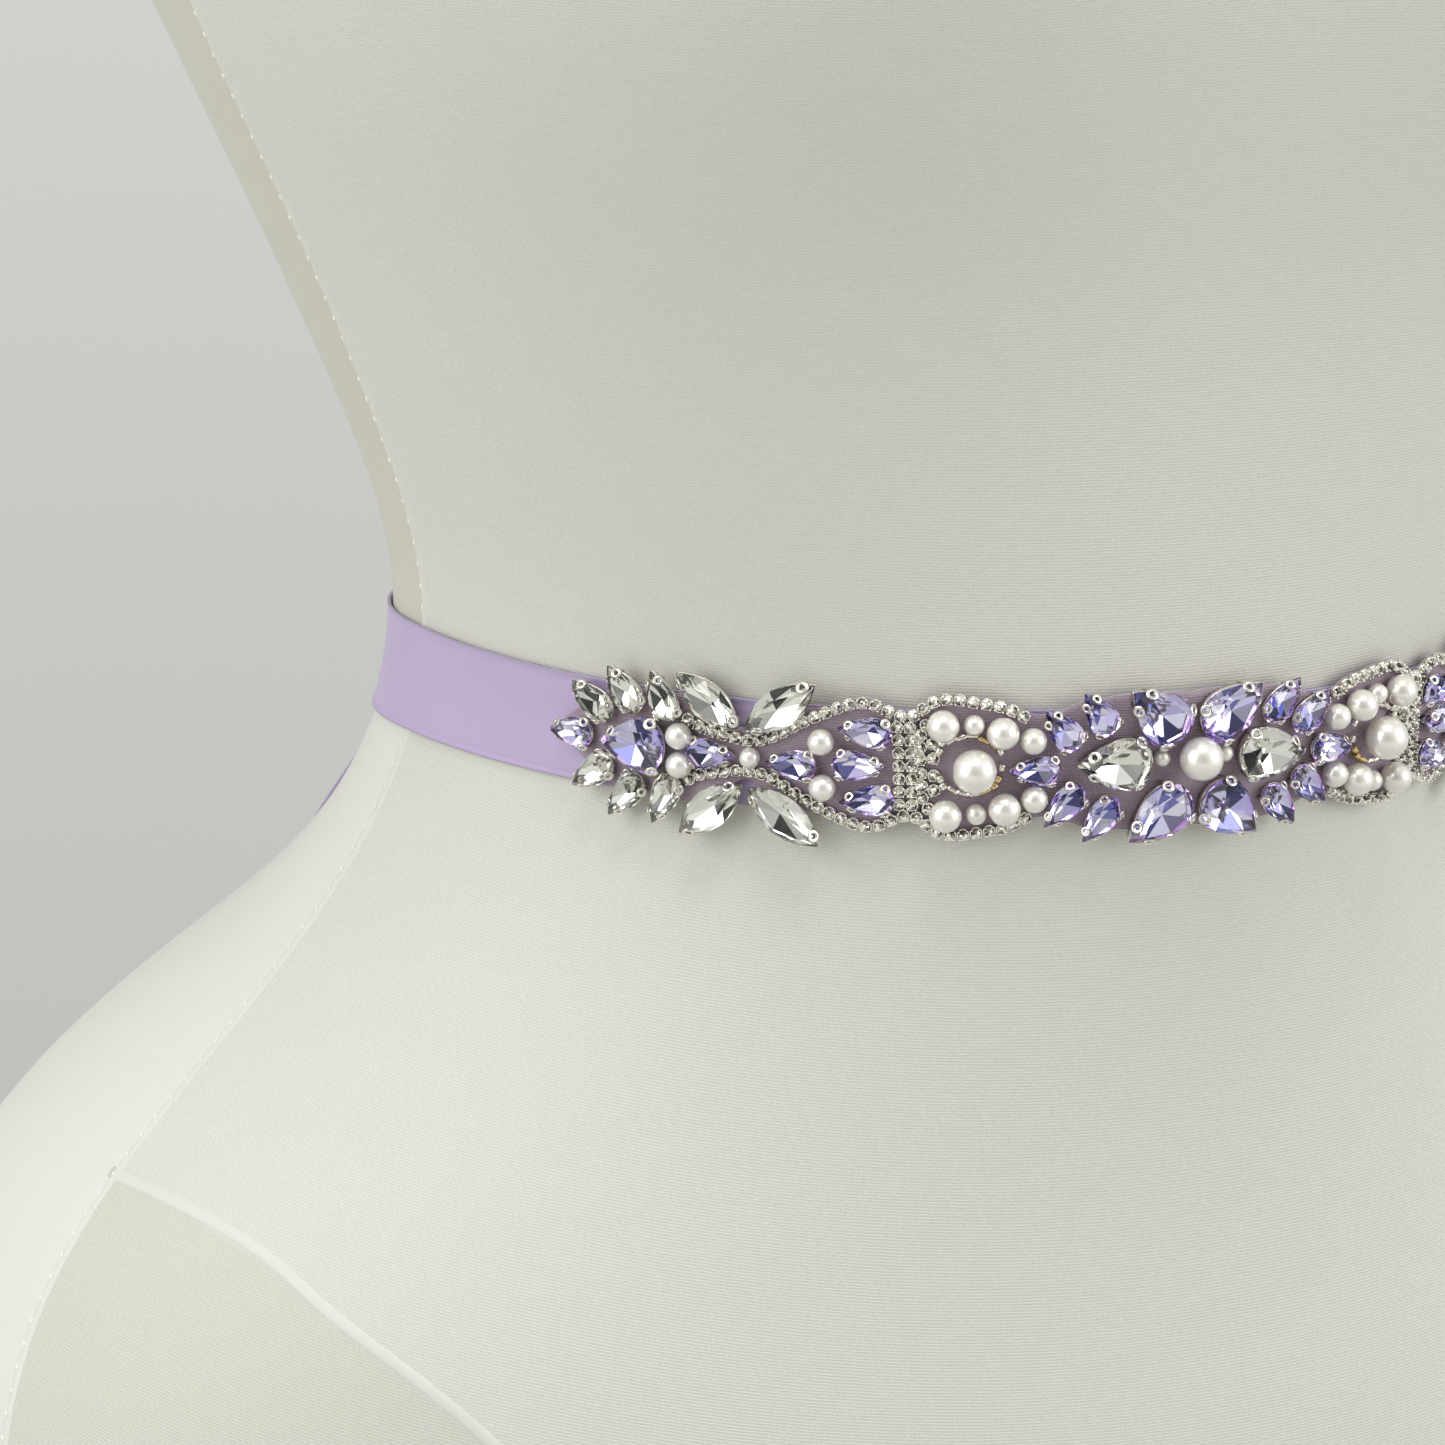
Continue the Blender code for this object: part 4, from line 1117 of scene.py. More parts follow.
def cut_stone(kind, colour, length, width, height, count, order):
    """A cut stone on its base plane. Its crown, in clear glass, has three facets for each side of a
    flat table. Its mirrored pavilion has three near the edge and one large wedge below, each facet with
    its own painted reflection, light or dark. order shifts its run of painted reflections."""
    size = np.array([length, width]) - STONE_CLEARANCE
    half = count // 2
    j, k = np.arange(count), np.arange(half)
    girdle = GIRDLE_SHARE * height

    def ring(share, level, number, phase=0.0):
        edge = stone_outline(kind, (np.arange(number) + phase) * 2 * math.pi / number) * size * share
        return np.c_[edge, np.full(number, level)]

    points = np.concatenate([
        ring(0.985, girdle - 0.15, count), ring(1.0, girdle + 0.15, count),
        ring(TABLE_SHARE, height, half), ring(PAVILION_SHARE, PAVILION_LEVEL * girdle, half),
        [[-0.05 * length, 0, 0.02 * height], [0, 0, height]],
    ])
    low, high, table, keel = 0, count, 2 * count, 2 * count + half
    tip, top = keel + half, keel + half + 1
    nj, nk = (j + 1) % count, (k + 1) % half
    before, after = (2 * k - 1) % count, (2 * k + 1) % count
    crown = [
        (high + before, high + 2 * k, table + k), (high + 2 * k, high + after, table + k),
        (high + after, table + nk, table + k), (table + k, table + nk, top + 0 * k),
        (low + j, low + nj, high + nj), (low + j, high + nj, high + j),
    ]
    edge = [
        (low + 2 * k, low + before, keel + k), (low + after, low + 2 * k, keel + k),
        (low + after, keel + k, keel + nk),
    ]
    wedge = [(keel + nk, keel + k, tip + 0 * k)]
    glass, mirror, middle = (
        np.concatenate([np.stack(facet, axis=-1) for facet in part]) for part in (crown, edge, wedge)
    )
    faces = np.concatenate([glass, mirror, middle])
    part = np.concatenate([np.zeros(len(glass)), np.ones(len(mirror) + len(middle))])
    # Painted reflections, light and dark, for the pavilion's facets
    wedge_painted_reflections, edge_painted_reflections = (np.array(tones) for tones in FACET_TINTS_AND_PAINTED_REFLECTIONS[colour])
    rolled = np.roll(wedge_painted_reflections, order, axis=0)[np.arange(len(middle)) % len(wedge_painted_reflections)]
    edge_run = edge_painted_reflections[(np.arange(len(mirror)) * 3 + order) % len(edge_painted_reflections)]
    tint_and_painted_reflection = np.concatenate([np.ones((len(glass), 3)), edge_run, rolled])
    return points, faces, part, tint_and_painted_reflection


def setting_shape(kind, length, width, height, large, seat):
    """A stone's plated setting: a thin cup round its lower edge, and prongs whose heads are eyelets
    folded over the crown. An eyelet is a flat ring, and its stem a strip down to the cup."""
    size = np.array([length, width]) - STONE_CLEARANCE
    girdle = GIRDLE_SHARE * height
    turn = np.linspace(0, 2 * math.pi, 28, endpoint=False)
    wall = ((1.3, -seat), (0.9, -seat), (0.22, girdle - 0.6), (0.34, girdle - 0.5), (0.7, girdle - 1.0))
    rings = np.stack([np.c_[stone_outline(kind, turn) * (size - 2 * inset), np.full(28, z)] for inset, z in wall], axis=1)
    shapes = [torus_loft(rings)]
    radius, thread = (0.84, 0.40) if large else (0.66, 0.33)
    turn = np.arange(12) * math.pi / 6
    tube = np.arange(6) * math.pi / 3
    ring = np.stack([
        np.cos(turn)[:, None] * (radius + thread * np.cos(tube)),
        np.sin(turn)[:, None] * (radius + thread * np.cos(tube)),
        0.45 * thread * np.sin(tube) + 0 * turn[:, None],
    ], axis=-1)
    eyelet = torus_loft(ring)
    angles = np.radians(PRONG_ANGLES[kind, large])
    edge, along, out = outline_frame(kind, size, angles)
    slope = math.radians(46)
    along3 = np.c_[along, np.zeros(len(angles))]
    out3 = np.c_[out, np.zeros(len(angles))]
    upright = np.array([0, 0, 1.0])
    normal = out3 * math.sin(slope) + upright * math.cos(slope)
    slant = out3 * math.cos(slope) - upright * math.sin(slope)
    centre = np.c_[edge, np.full(len(angles), girdle + 0.25)] - slant * (radius - 0.25) + normal * 0.22
    shapes.append(repeated(*eyelet, frames_from(along3, normal, centre)))
    foot = np.c_[edge, np.full(len(angles), -seat)] - out3 * 0.5
    knee = np.c_[edge, np.full(len(angles), girdle - 0.2)] + out3 * 0.14
    head = centre + slant * radius
    half_width = 0.42 if large else 0.34
    line = np.stack([foot, knee, head], axis=1)
    for number in range(len(angles)):
        corners = np.array([(-half_width, -0.12), (half_width, -0.12), (half_width, 0.12), (-half_width, 0.12)])
        rings = (line[number][:, None] + along3[number] * corners[:, :1] + out3[number] * corners[:, 1:])
        shapes.append(ring_loft(rings[::-1]))
    return joined(shapes)


def mirrored_places(distance, up, both):
    """The places where a piece repeats: (name ending, side, level, distance, height)."""
    for side, side_name in ((-1, "left"), (1, "right")):
        for level, level_name in ((1, "_upper"), (-1, "_lower")) if both else ((1, ""),):
            yield f"{side_name}{level_name}", side, level, side * distance, level * up


def cluster_of(distance):
    """The stretch of the backing that a place belongs to."""
    if abs(distance) < CLUSTER_SEAM:
        return "centre"
    return "left" if distance < 0 else "right"


def placed(shape, frame):
    """A shape carried to one frame, with its faces' values kept."""
    points, faces, *rest = shape
    return (points @ frame[:3, :3].T + frame[:3, 3], faces, *rest)


def each_stone():
    """Every stone of the applique, with its frame on the sash and its number."""
    number = 0
    for name, kind, colour, distance, up, angle, length, width, height, both, large in STONES:
        for ending, side, level, s, t in mirrored_places(distance, up, both):
            tip = math.radians(angle) * level
            turned = tip if side > 0 else math.pi - tip
            off = SEATED_AT if large else SMALL_SEATED_AT
            frame_here = jewel_frames(s, t, off, turned)[0]
            yield f"{name}_{ending}", kind, colour, (length, width, height), large, cluster_of(s), frame_here, number
            number += 1


def build_stones(colours):
    """The stones: each large one a piece of its own, and the small ones joined by stretch and colour."""
    glass = {
        "lavender": crystal_material("lavender_glass", colours.lavender_glass),
        "clear": crystal_material("clear_glass", colours.clear_glass),
    }
    foil = foil_material("mirror_foil", 0.08)
    small = {}
    for name, kind, colour, size, large, cluster, frame_here, number in each_stone():
        shape = cut_stone(kind, colour, *size, 16 if large else 12, (number * 5) % 8)
        shape = placed(shape, frame_here)
        if large:
            stone = small_parts(f"stone_{name}", shape, [glass[colour], foil], smooth=False)
            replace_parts(stone, name)
        else:
            small.setdefault((cluster, colour), []).append(shape)
    for (cluster, colour), shapes in small.items():
        name = f"small_{colour}_stones_{cluster}"
        small_parts(name, joined(shapes), [glass[colour], foil], smooth=False)


def build_settings(silver):
    """The plated settings of all the stones, joined by stretch."""
    made, shapes = {}, {}
    for name, kind, colour, size, large, cluster, frame_here, number in each_stone():
        key = (kind, size, large)
        if key not in made:
            made[key] = setting_shape(kind, *size, large, 0.55 if large else 0.15)
        shapes.setdefault(cluster, []).append(placed(made[key], frame_here))
    for cluster, parts in shapes.items():
        small_parts(f"settings_{cluster}", joined(parts), [silver])


def pearl_shape(diameter, around=28):
    """A pearl resting on its plane: a sphere drawn in a little at its two drilled ends."""
    radius = 0.5 * (diameter - STONE_CLEARANCE)
    across = np.linspace(0, math.pi, around // 2 + 1)[1:-1]
    turn = np.linspace(0, 2 * math.pi, around, endpoint=False)
    dent = 1 - 0.06 * np.exp(-((np.sin(across) / 0.16) ** 2))
    x = -np.cos(across) * dent
    ring = np.stack([0 * turn, np.cos(turn), np.sin(turn)], axis=-1)
    rings = ring[None] * (np.sin(across) * dent)[:, None, None] + np.array([1, 0, 0]) * x[:, None, None]
    points, faces = ring_loft(rings)
    return points * radius + (0, 0, radius), faces


def build_pearls(material):
    """The pearls: the three large ones as pieces of their own, and the others joined by stretch."""
    large = [("centre_pearl", *CENTRE_PEARL)]
    distance, up, diameter = RING_PEARL
    large += [(f"ring_pearl_{name}", side * distance, up, diameter) for side, name in ((-1, "left"), (1, "right"))]
    for name, distance, up, diameter in large:
        shape = placed(pearl_shape(diameter, 48), jewel_frames(distance, up, SEATED_AT)[0])
        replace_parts(small_parts(f"pearl_{name}", shape, [material]), name)
    shapes = {}
    for name, distance, up, diameter, both in PEARLS:
        for ending, side, level, s, t in mirrored_places(distance, up, both):
            frame_here = jewel_frames(s, t, SMALL_SEATED_AT, 0.6 * level * side)[0]
            shapes.setdefault(cluster_of(s), []).append(placed(pearl_shape(diameter), frame_here))
    for cluster, parts in shapes.items():
        small_parts(f"pearls_{cluster}", joined(parts), [material])


# Painted reflections of the chain stones' facets, light and dark, in a champagne tint
CHAIN_TINTS_AND_PAINTED_REFLECTIONS = np.array([
    (1.0, 0.99, 0.93), (0.50, 0.49, 0.44), (0.86, 0.85, 0.78), (0.12, 0.12, 0.10),
    (1.0, 1.0, 0.96), (0.66, 0.64, 0.56), (0.30, 0.29, 0.26), (0.95, 0.93, 0.86),
])


def chain_stone(radius, order):
    """One rhinestone of a chain: an eight-sided crown of two rows of facets with a flat top, each facet
    with its own painted reflection, light or dark.
    """
    turn = np.arange(8) * math.pi / 4
    circle = np.stack([np.cos(turn), np.sin(turn)], axis=-1)
    half_turn = turn + math.pi / 8
    between = np.stack([np.cos(half_turn), np.sin(half_turn)], axis=-1)
    rings = np.array([
        np.c_[circle * radius * 0.9, np.full(8, 0.2)],
        np.c_[circle * radius, np.full(8, 0.9)],
        np.c_[between * radius * 0.72, np.full(8, 1.35)],
        np.c_[circle * radius * 0.45, np.full(8, 1.6)],
    ])
    points, faces = ring_loft(rings)
    tint_and_painted_reflection = CHAIN_TINTS_AND_PAINTED_REFLECTIONS[(np.arange(len(faces)) * 5 + order * 3) % len(CHAIN_TINTS_AND_PAINTED_REFLECTIONS)]
    return points, faces, np.zeros(len(faces)), tint_and_painted_reflection


def chain_cup(radius):
    """A rhinestone's cup: a square-cornered band with four ball prongs and a link to the next."""
    turn = np.arange(12) * math.pi / 6
    circle = np.stack([np.cos(turn), np.sin(turn)], axis=-1)
    rings = np.array([np.c_[circle * r, np.full(12, z)] for r, z in (
        (radius * 0.9, 0.0), (radius * 1.08, 0.15), (radius * 1.1, 0.8), (radius * 1.02, 0.8))])
    band = ring_loft(rings)
    prong = np.arange(6) * math.pi / 3
    spot = np.stack([np.cos(prong), np.sin(prong), 0 * prong], axis=-1)
    ball = ring_loft(np.array([spot * r + (0, 0, z) for r, z in ((0.20, 0.55), (0.24, 1.0), (0.20, 1.3), (0.10, 1.42))]))
    corner = math.pi / 4 + np.arange(4) * math.pi / 2
    places = np.stack([np.cos(corner), np.sin(corner), 0 * corner], axis=-1) * radius * 0.98
    frames = frames_from(np.tile([1.0, 0, 0], (4, 1)), np.tile([0, 0, 1.0], (4, 1)), places)
    link = np.array([(0, -0.22, -0.08), (0, 0.22, -0.08), (0, 0.22, 0.12), (0, -0.22, 0.12)])
    links = ring_loft(np.array([link + (x, 0, 0.15) for x in (-1.12, 1.12)])[:, ::-1])
    return joined([band, repeated(*ball, frames), links])


def chain_places(table, pitch, side, level):
    """Where the stones of a border chain sit, mirrored to its side and level, with their angles."""
    path = even_path(np.array(table, float), pitch) * (side, level)
    toward = np.gradient(path, axis=0)
    return path, np.arctan2(toward[:, 1], toward[:, 0])


def each_chain(sizes):
    """Every run of rhinestone chain: the stretch it is sewn to, its places and their angles."""
    pitch = sizes.chain_pitch / MM
    border = np.array(BORDER_CHAIN, float)
    for side in (-1, 1):
        for level in (-1, 1):
            path, angle = chain_places(border, pitch, side, level)
            for mask in (np.abs(path[:, 0]) < CLUSTER_SEAM, np.abs(path[:, 0]) >= CLUSTER_SEAM):
                yield cluster_of(path[mask][0, 0]), path[mask], angle[mask]
            for out, up, lean, stones in FAN_ROWS:
                reach = np.arange(stones) * pitch
                line = np.c_[out - reach * math.cos(math.radians(lean)), up + reach * math.sin(math.radians(lean))]
                yield "centre", line * (side, level), np.full(stones, math.radians(lean) * side * level)
        for out in COLUMN_CHAINS:
            up = np.linspace(-COLUMN_HALF, COLUMN_HALF, 7)
            yield cluster_of(side * out), np.c_[np.full(7, side * out), up], np.full(7, math.pi / 2)


def build_chains(sizes, silver):
    """The rhinestone chains: cut stones in plated cups, one mesh of stones and one of cups a stretch."""
    radius = 0.5 * sizes.chain_stone / MM
    stones, cups = {}, {}
    cup = chain_cup(radius)
    number = 0
    for cluster, path, angle in each_chain(sizes):
        frames = jewel_frames(path[:, 0], path[:, 1], SMALL_SEATED_AT - 0.1, angle)
        cups.setdefault(cluster, []).append(repeated(*cup, frames))
        for frame_here in frames:
            stones.setdefault(cluster, []).append(placed(chain_stone(radius * 0.92, number), frame_here))
            number += 1
    crystal = foil_material("chain_crystal", 0.06)
    for cluster, parts in stones.items():
        small_parts(f"chain_stones_{cluster}", joined(parts), [crystal], smooth=False)
    for cluster, parts in cups.items():
        small_parts(f"chain_cups_{cluster}", joined(parts), [silver])


BEAD_RING = (
    # angle round the ring pearl in degrees, from the side towards the middle; distance; kind
    (-30, 4.9, "gold_round"),
    (-4, 4.9, "round"),
    (28, 5.3, "round"),
    (46, 5.2, "gold_round"),
    (66, 5.0, "gold_tube"),
    (88, 5.4, "tube"),
    (108, 5.3, "tube"),
    (126, 5.6, "tube"),
    (140, 6.3, "round"),
    (155, 5.9, "round"),
    (205, 5.9, "round"),
    (218, 6.2, "round"),
    (234, 5.6, "tube"),
    (252, 5.3, "tube"),
    (272, 5.2, "tube"),
    (294, 5.1, "gold_tube"),
    (314, 5.2, "gold_round"),
)


def bead_shape(long):
    """A seed bead: a short tube with rounded ends, longer for a bugle bead."""
    half = 1.05 if long else 0.62
    radius = 0.52 if long else 0.72
    place = np.array([-1, -0.92, -0.6, 0.6, 0.92, 1]) * half
    reach = np.array([0.55, 0.85, 1, 1, 0.85, 0.55]) * radius
    turn = np.arange(10) * math.pi / 5
    ring = np.stack([0 * turn, np.cos(turn), np.sin(turn)], axis=-1)
    return ring_loft(ring[None] * reach[:, None, None] + np.array([1, 0, 0]) * place[:, None, None])


def build_seed_beads(bead_material, gold):
    """The ring of seed and bugle beads round each ring pearl, silver-lined ones and gold ones."""
    shapes = {"silver": [], "gold": []}
    for side in (-1, 1):
        for degrees, radius, kind in BEAD_RING:
            turn = math.radians(degrees)
            s = side * (RING_PEARL[0] - radius * math.cos(turn))
            t = RING_PEARL[1] + radius * math.sin(turn)
            angle = math.atan2(math.cos(turn), side * math.sin(turn))
            frame_here = jewel_frames(s, t, SMALL_SEATED_AT + 0.9, angle)[0]
            metal = "gold" if kind.startswith("gold") else "silver"
            shapes[metal].append(placed(bead_shape(kind.endswith("tube")), frame_here))
    small_parts("seed_beads_silver", joined(shapes["silver"]), [bead_material])
    small_parts("seed_beads_gold", joined(shapes["gold"]), [gold])


# The stage

def build_floor(colours):
    """A seamless pale floor, wide enough for a view from any side, that curves up into a far wall. It has
    painted shade near the form and painted light further out.
    """
    bend = np.linspace(0, 0.5 * math.pi, 24)
    floor = np.c_[np.linspace(-9000, 9000, 24), np.zeros(24)]
    curve = np.c_[9000 + 1500 * np.sin(bend[1:]), 1500 * (1 - np.cos(bend[1:]))]
    wall = np.c_[np.full(6, 10500.0), np.linspace(1500, 5000, 7)[1:]]
    profile = np.concatenate([floor, curve, wall])
    across = np.linspace(-9000, 9000, 19)
    points = np.stack(np.broadcast_arrays(across[:, None], profile[:, 0], profile[:, 1]), axis=-1)
    rows, columns = points.shape[:2]
    index = np.arange(rows * columns).reshape(rows, columns)
    faces = np.stack([index[:-1, :-1], index[1:, :-1], index[1:, 1:], index[:-1, 1:]], axis=-1)
    mesh = bpy.data.meshes.new("studio_floor")
    mesh.from_pydata((points.reshape(-1, 3) * MM).tolist(), [], faces.reshape(-1, 4).tolist())
    mesh.shade_smooth()
    made, tree, shader = new_material("studio_paper", Roughness=0.9, Specular_IOR_Level=0.1)
    place = node(tree, "TexCoord").outputs["Object"]
    soft = node(tree, "TexNoise", {"Vector": place, "Scale": 1.2, "Detail": 2.0})
    away = node(tree, "VectorMath", {0: place}, operation="LENGTH").outputs["Value"]
    # Painted shade near the form, turning to painted light from 1.75 m out
    painted_light_far = node(tree, "MapRange", {"Value": away, "From Min": 0.55, "From Max": 1.75}).outputs[0]
    painted_shade_near = mixed_colour(tree, soft.outputs["Fac"], rgba(colours.studio, 0.79), rgba(colours.studio, 0.81))
    tree.links.new(mixed_colour(tree, painted_light_far, painted_shade_near, rgba(colours.studio, 1.2)), shader.inputs["Base Color"])
    mesh.materials.append(made)
    sheet = bpy.data.objects.new("studio_floor", mesh)
    bpy.context.scene.collection.objects.link(sheet)
    sheet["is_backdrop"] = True


LIGHTS = (
    # name, place in metres, width, height, watts, aimed at
    ("overhead", (-0.35, -0.6, 2.3), 0.8, 0.7, 12.0, (0.0, 0.0, 0.35)),
    ("left_side", (-2.4, -0.4, 1.2), 2.0, 2.2, 34.0, (0.0, 0.0, 0.3)),
    ("right_front", (2.0, -1.7, 1.2), 2.0, 1.8, 31.0, (0.0, 0.0, 0.4)),
)


def build_lights():
    """Soft area lights overhead and to both sides, in a pale room that is darker behind the camera."""
    for name, place, width, height, watts, aim in LIGHTS:
        data = bpy.data.lights.new(name, "AREA")
        data.shape = "RECTANGLE"
        data.size, data.size_y, data.energy = width, height, watts
        lamp = bpy.data.objects.new(name, data)
        toward = Matrix.Translation(place).translation - Matrix.Translation(aim).translation
        lamp.matrix_world = Matrix.Translation(place) @ toward.to_track_quat("Z", "Y").to_matrix().to_4x4()
        bpy.context.scene.collection.objects.link(lamp)
    world = bpy.data.worlds.new("studio_room")
    bpy.context.scene.world = world
    world.use_nodes = True
    tree = world.node_tree
    back = tree.nodes["Background"]
    direction = node(tree, "TexCoord").outputs["Generated"]
    camera_side = camera_axes()[:, 2]
    facing = node(tree, "VectorMath", {0: direction, 1: tuple(camera_side)}, operation="DOT_PRODUCT").outputs["Value"]
    shade = node(tree, "MapRange", {"Value": facing, "From Min": 0.80, "From Max": 0.97, "To Min": 0.0, "To Max": 1.0})
    level = node(tree, "SeparateXYZ", {0: direction}).outputs["Z"]
    rise = node(tree, "MapRange", {"Value": level, "From Min": 0.1, "From Max": 0.7}, interpolation_type="SMOOTHSTEP")
    walls = mixed_colour(tree, rise.outputs[0], (0.56, 0.56, 0.56, 1), (0.80, 0.80, 0.80, 1))
    room = mixed_colour(tree, shade.outputs[0], walls, (0.16, 0.16, 0.17, 1))
    tree.links.new(room, back.inputs["Color"])
    back.inputs["Strength"].default_value = 1.0


def camera_axes():
    """The camera's right, up and backward directions as columns, from its yaw, pitch and roll."""
    yaw, pitch, roll = CAMERA_YAW, CAMERA_PITCH, CAMERA_ROLL
    ahead = np.array([math.sin(yaw) * math.cos(pitch), math.cos(yaw) * math.cos(pitch), -math.sin(pitch)])
    level = np.array([math.cos(yaw), -math.sin(yaw), 0.0])
    above = np.cross(level, ahead)
    right = level * math.cos(roll) + above * math.sin(roll)
    up = -level * math.sin(roll) + above * math.cos(roll)
    return np.stack([right, up, -ahead], axis=-1)


def build_camera():
    """The camera at the photograph's place and angle."""
    data = bpy.data.cameras.new("photo_camera")
    data.sensor_width = SENSOR
    data.lens = CAMERA_LENS
    data.clip_start, data.clip_end = 0.05, 30.0
    camera = bpy.data.objects.new("photo_camera", data)
    place = np.eye(4)
    place[:3, :3] = camera_axes()
    place[:3, 3] = np.array(CAMERA_PLACE) * MM
    camera.matrix_world = Matrix(place.tolist())
    bpy.context.scene.collection.objects.link(camera)
    bpy.context.scene.camera = camera


# What a user may change

class SashSizes(bpy.types.PropertyGroup):
    """Sizes of the sash's finish."""

    ribbon_width: FloatProperty(
        name="Ribbon width", description="Width of the satin ribbon", default=0.019, unit="LENGTH")
    ribbon_thickness: FloatProperty(
        name="Ribbon thickness", description="Thickness of the satin ribbon", default=0.0006, unit="LENGTH")
    knit_row: FloatProperty(
        name="Knit row", description="Height of one row of the form's knit", default=0.00056, precision=5,
        unit="LENGTH")
    stitch_pitch: FloatProperty(
        name="Stitch pitch", description="Spacing of the stitches on the side seams", default=0.0042,
        unit="LENGTH")
    chain_pitch: FloatProperty(
        name="Chain pitch", description="Spacing of the rhinestones along a chain", default=0.00215,
        unit="LENGTH")
    chain_stone: FloatProperty(
        name="Chain stone", description="Width of one rhinestone's cup", default=0.00205, unit="LENGTH")


def colour_property(name, description, default):
    """A colour that the sidebar shows."""
    return FloatVectorProperty(name=name, description=description, default=default, subtype="COLOR", min=0, max=1)


class SashColours(bpy.types.PropertyGroup):
    """Colours of the sash's materials."""

    form_cloth: colour_property("Form cloth", "The dress form's ivory knit", (0.68, 0.676, 0.612))
    ribbon: colour_property("Ribbon", "The lavender satin", (0.51, 0.42, 0.63))
    backing: colour_property("Backing", "The applique's mauve gauze", (0.45, 0.36, 0.43))
    lavender_glass: colour_property("Lavender glass", "The tint of the lavender stones", (0.93, 0.88, 1.0))
    clear_glass: colour_property("Clear glass", "The tint of the clear stones", (1.0, 1.0, 0.98))
    pearl: colour_property("Pearl", "The glass pearls", (0.88, 0.87, 0.83))
    silver: colour_property("Silver", "The plated settings and cups", (0.90, 0.87, 0.79))
    gold: colour_property("Gold", "The gold seed beads", (0.80, 0.62, 0.30))
    studio: colour_property("Studio", "The floor and wall", (0.60, 0.60, 0.584))


class SashOperator:
    """What the operators share: the scene's sizes and colours, and materials made once."""

    bl_options = {"REGISTER", "UNDO"}

    def given(self, context):
        """The user's sizes and colours."""
        return context.scene.sash_sizes, context.scene.sash_colours


def once(name, build, *arguments):
    """A material by its name, built the first time that it is asked for."""
    return bpy.data.materials.get(name) or build(*arguments)


def silver_of(colours):
    """The plated metal of settings and cups."""
    return once("plated_silver", metal_material, "plated_silver", colours.silver, 0.16)


class SASH_OT_form(SashOperator, bpy.types.Operator):
    """Build the dress form's knit cover, neck cap and base"""

    bl_idname = "sash.form"
    bl_label = "Dress Form"

    def execute(self, context):
        sizes, colours = self.given(context)
        build_ends(colours)
        build_cover(sizes, colours)
        return {"FINISHED"}


class SASH_OT_seams(SashOperator, bpy.types.Operator):
    """Build the cover's side seams, leg lines and stitches"""

    bl_idname = "sash.seams"
    bl_label = "Form Seams"

    def execute(self, context):
        build_seams(*self.given(context))
        return {"FINISHED"}


class SASH_OT_ribbon(SashOperator, bpy.types.Operator):
    """Build the two halves of the satin waist ribbon"""

    bl_idname = "sash.ribbon"
    bl_label = "Ribbon"

    def execute(self, context):
        sizes, colours = self.given(context)
        build_ribbon(sizes, colours, once("satin_ribbon", ribbon_material, sizes, colours))
        return {"FINISHED"}


class SASH_OT_bow(SashOperator, bpy.types.Operator):
    """Build the bow at the back: knot, two loops and two tails"""

    bl_idname = "sash.bow"
    bl_label = "Bow"

    def execute(self, context):
        sizes, colours = self.given(context)
        material = once("satin_ribbon", ribbon_material, sizes, colours)
        build_knot(sizes, material)
        for side, side_name in ((-1, "left"), (1, "right")):
            build_loop(side_name, side, sizes, material)
            build_tail(side_name, side, sizes, material)
        return {"FINISHED"}


class SASH_OT_backing(SashOperator, bpy.types.Operator):
    """Build the stiff backing of the applique"""

    bl_idname = "sash.backing"
    bl_label = "Backing"

    def execute(self, context):
        sizes, colours = self.given(context)
        build_backing(backing_material(colours))
        return {"FINISHED"}


class SASH_OT_stones(SashOperator, bpy.types.Operator):
    """Build the pear and navette stones"""

    bl_idname = "sash.stones"
    bl_label = "Stones"

    def execute(self, context):
        sizes, colours = self.given(context)
        build_stones(colours)
        return {"FINISHED"}


class SASH_OT_settings(SashOperator, bpy.types.Operator):
    """Build the plated settings that hold the stones"""

    bl_idname = "sash.settings"
    bl_label = "Settings"

    def execute(self, context):
        sizes, colours = self.given(context)
        build_settings(silver_of(colours))
        return {"FINISHED"}


class SASH_OT_pearls(SashOperator, bpy.types.Operator):
    """Build the pearls"""

    bl_idname = "sash.pearls"
    bl_label = "Pearls"

    def execute(self, context):
        sizes, colours = self.given(context)
        build_pearls(pearl_material(colours))
        return {"FINISHED"}


class SASH_OT_chains(SashOperator, bpy.types.Operator):
    """Build the rhinestone chains"""

    bl_idname = "sash.chains"
    bl_label = "Chains"

    def execute(self, context):
        sizes, colours = self.given(context)
        build_chains(sizes, silver_of(colours))
        return {"FINISHED"}


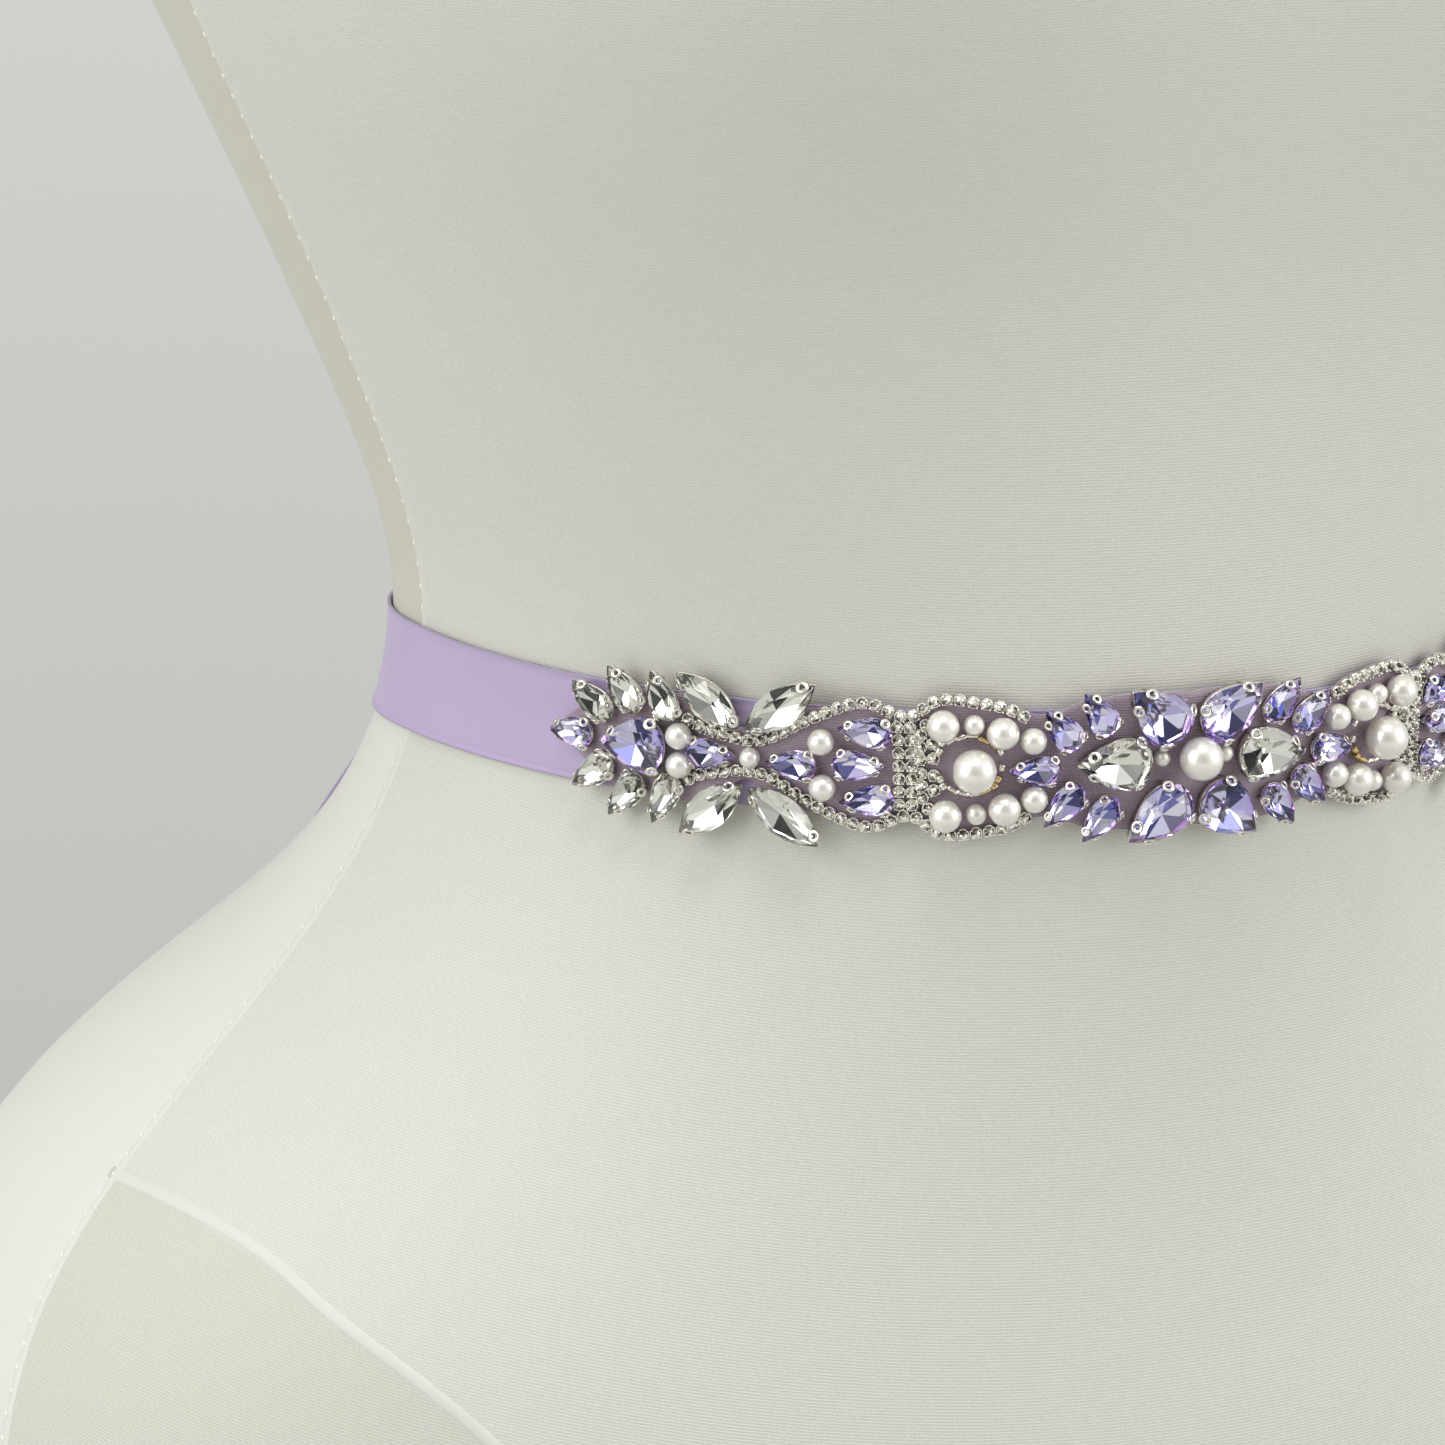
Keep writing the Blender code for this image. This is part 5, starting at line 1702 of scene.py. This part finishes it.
class SASH_OT_seed_beads(SashOperator, bpy.types.Operator):
    """Build the seed beads round the ring pearls"""

    bl_idname = "sash.seed_beads"
    bl_label = "Seed Beads"

    def execute(self, context):
        sizes, colours = self.given(context)
        gold = metal_material("gold_bead", colours.gold, 0.15)
        build_seed_beads(silver_of(colours), gold)
        return {"FINISHED"}


class SASH_OT_stage(SashOperator, bpy.types.Operator):
    """Build the floor, the lights and the camera"""

    bl_idname = "sash.stage"
    bl_label = "Stage"

    def execute(self, context):
        sizes, colours = self.given(context)
        build_floor(colours)
        build_lights()
        build_camera()
        context.scene.view_settings.view_transform = "Standard"
        return {"FINISHED"}


OPERATORS = (
    SASH_OT_stage, SASH_OT_form, SASH_OT_seams, SASH_OT_ribbon, SASH_OT_bow, SASH_OT_backing,
    SASH_OT_stones, SASH_OT_settings, SASH_OT_pearls, SASH_OT_chains, SASH_OT_seed_beads,
)


class SASH_PT_panel(bpy.types.Panel):
    """Lists the sash's pieces, sizes and colours"""

    bl_label = "Bridal Sash"
    bl_idname = "SASH_PT_panel"
    bl_space_type = "VIEW_3D"
    bl_region_type = "UI"
    bl_category = "Bridal Sash"

    def draw(self, context):
        for operator in OPERATORS:
            self.layout.operator(operator.bl_idname)
        for group in (context.scene.sash_sizes, context.scene.sash_colours):
            box = self.layout.box()
            for name in group.__annotations__:
                box.prop(group, name)


CLASSES = (SashSizes, SashColours, *OPERATORS, SASH_PT_panel)


def register():
    """Adds the classes and the scene's settings."""
    for item in CLASSES:
        bpy.utils.register_class(item)
    bpy.types.Scene.sash_sizes = PointerProperty(type=SashSizes)
    bpy.types.Scene.sash_colours = PointerProperty(type=SashColours)


def unregister():
    """Takes away the scene's settings and the classes."""
    del bpy.types.Scene.sash_colours
    del bpy.types.Scene.sash_sizes
    for item in reversed(CLASSES):
        bpy.utils.unregister_class(item)


def main():
    """Builds everything in order."""
    register()
    for operator in OPERATORS:
        group, name = operator.bl_idname.split(".")
        getattr(getattr(bpy.ops, group), name)()
    boxes = {"cad": CAD_BOX, "visual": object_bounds()}
    {name: [list(corner) for corner in box] for name, box in boxes.items()}


if __name__ == "__main__":
    main()
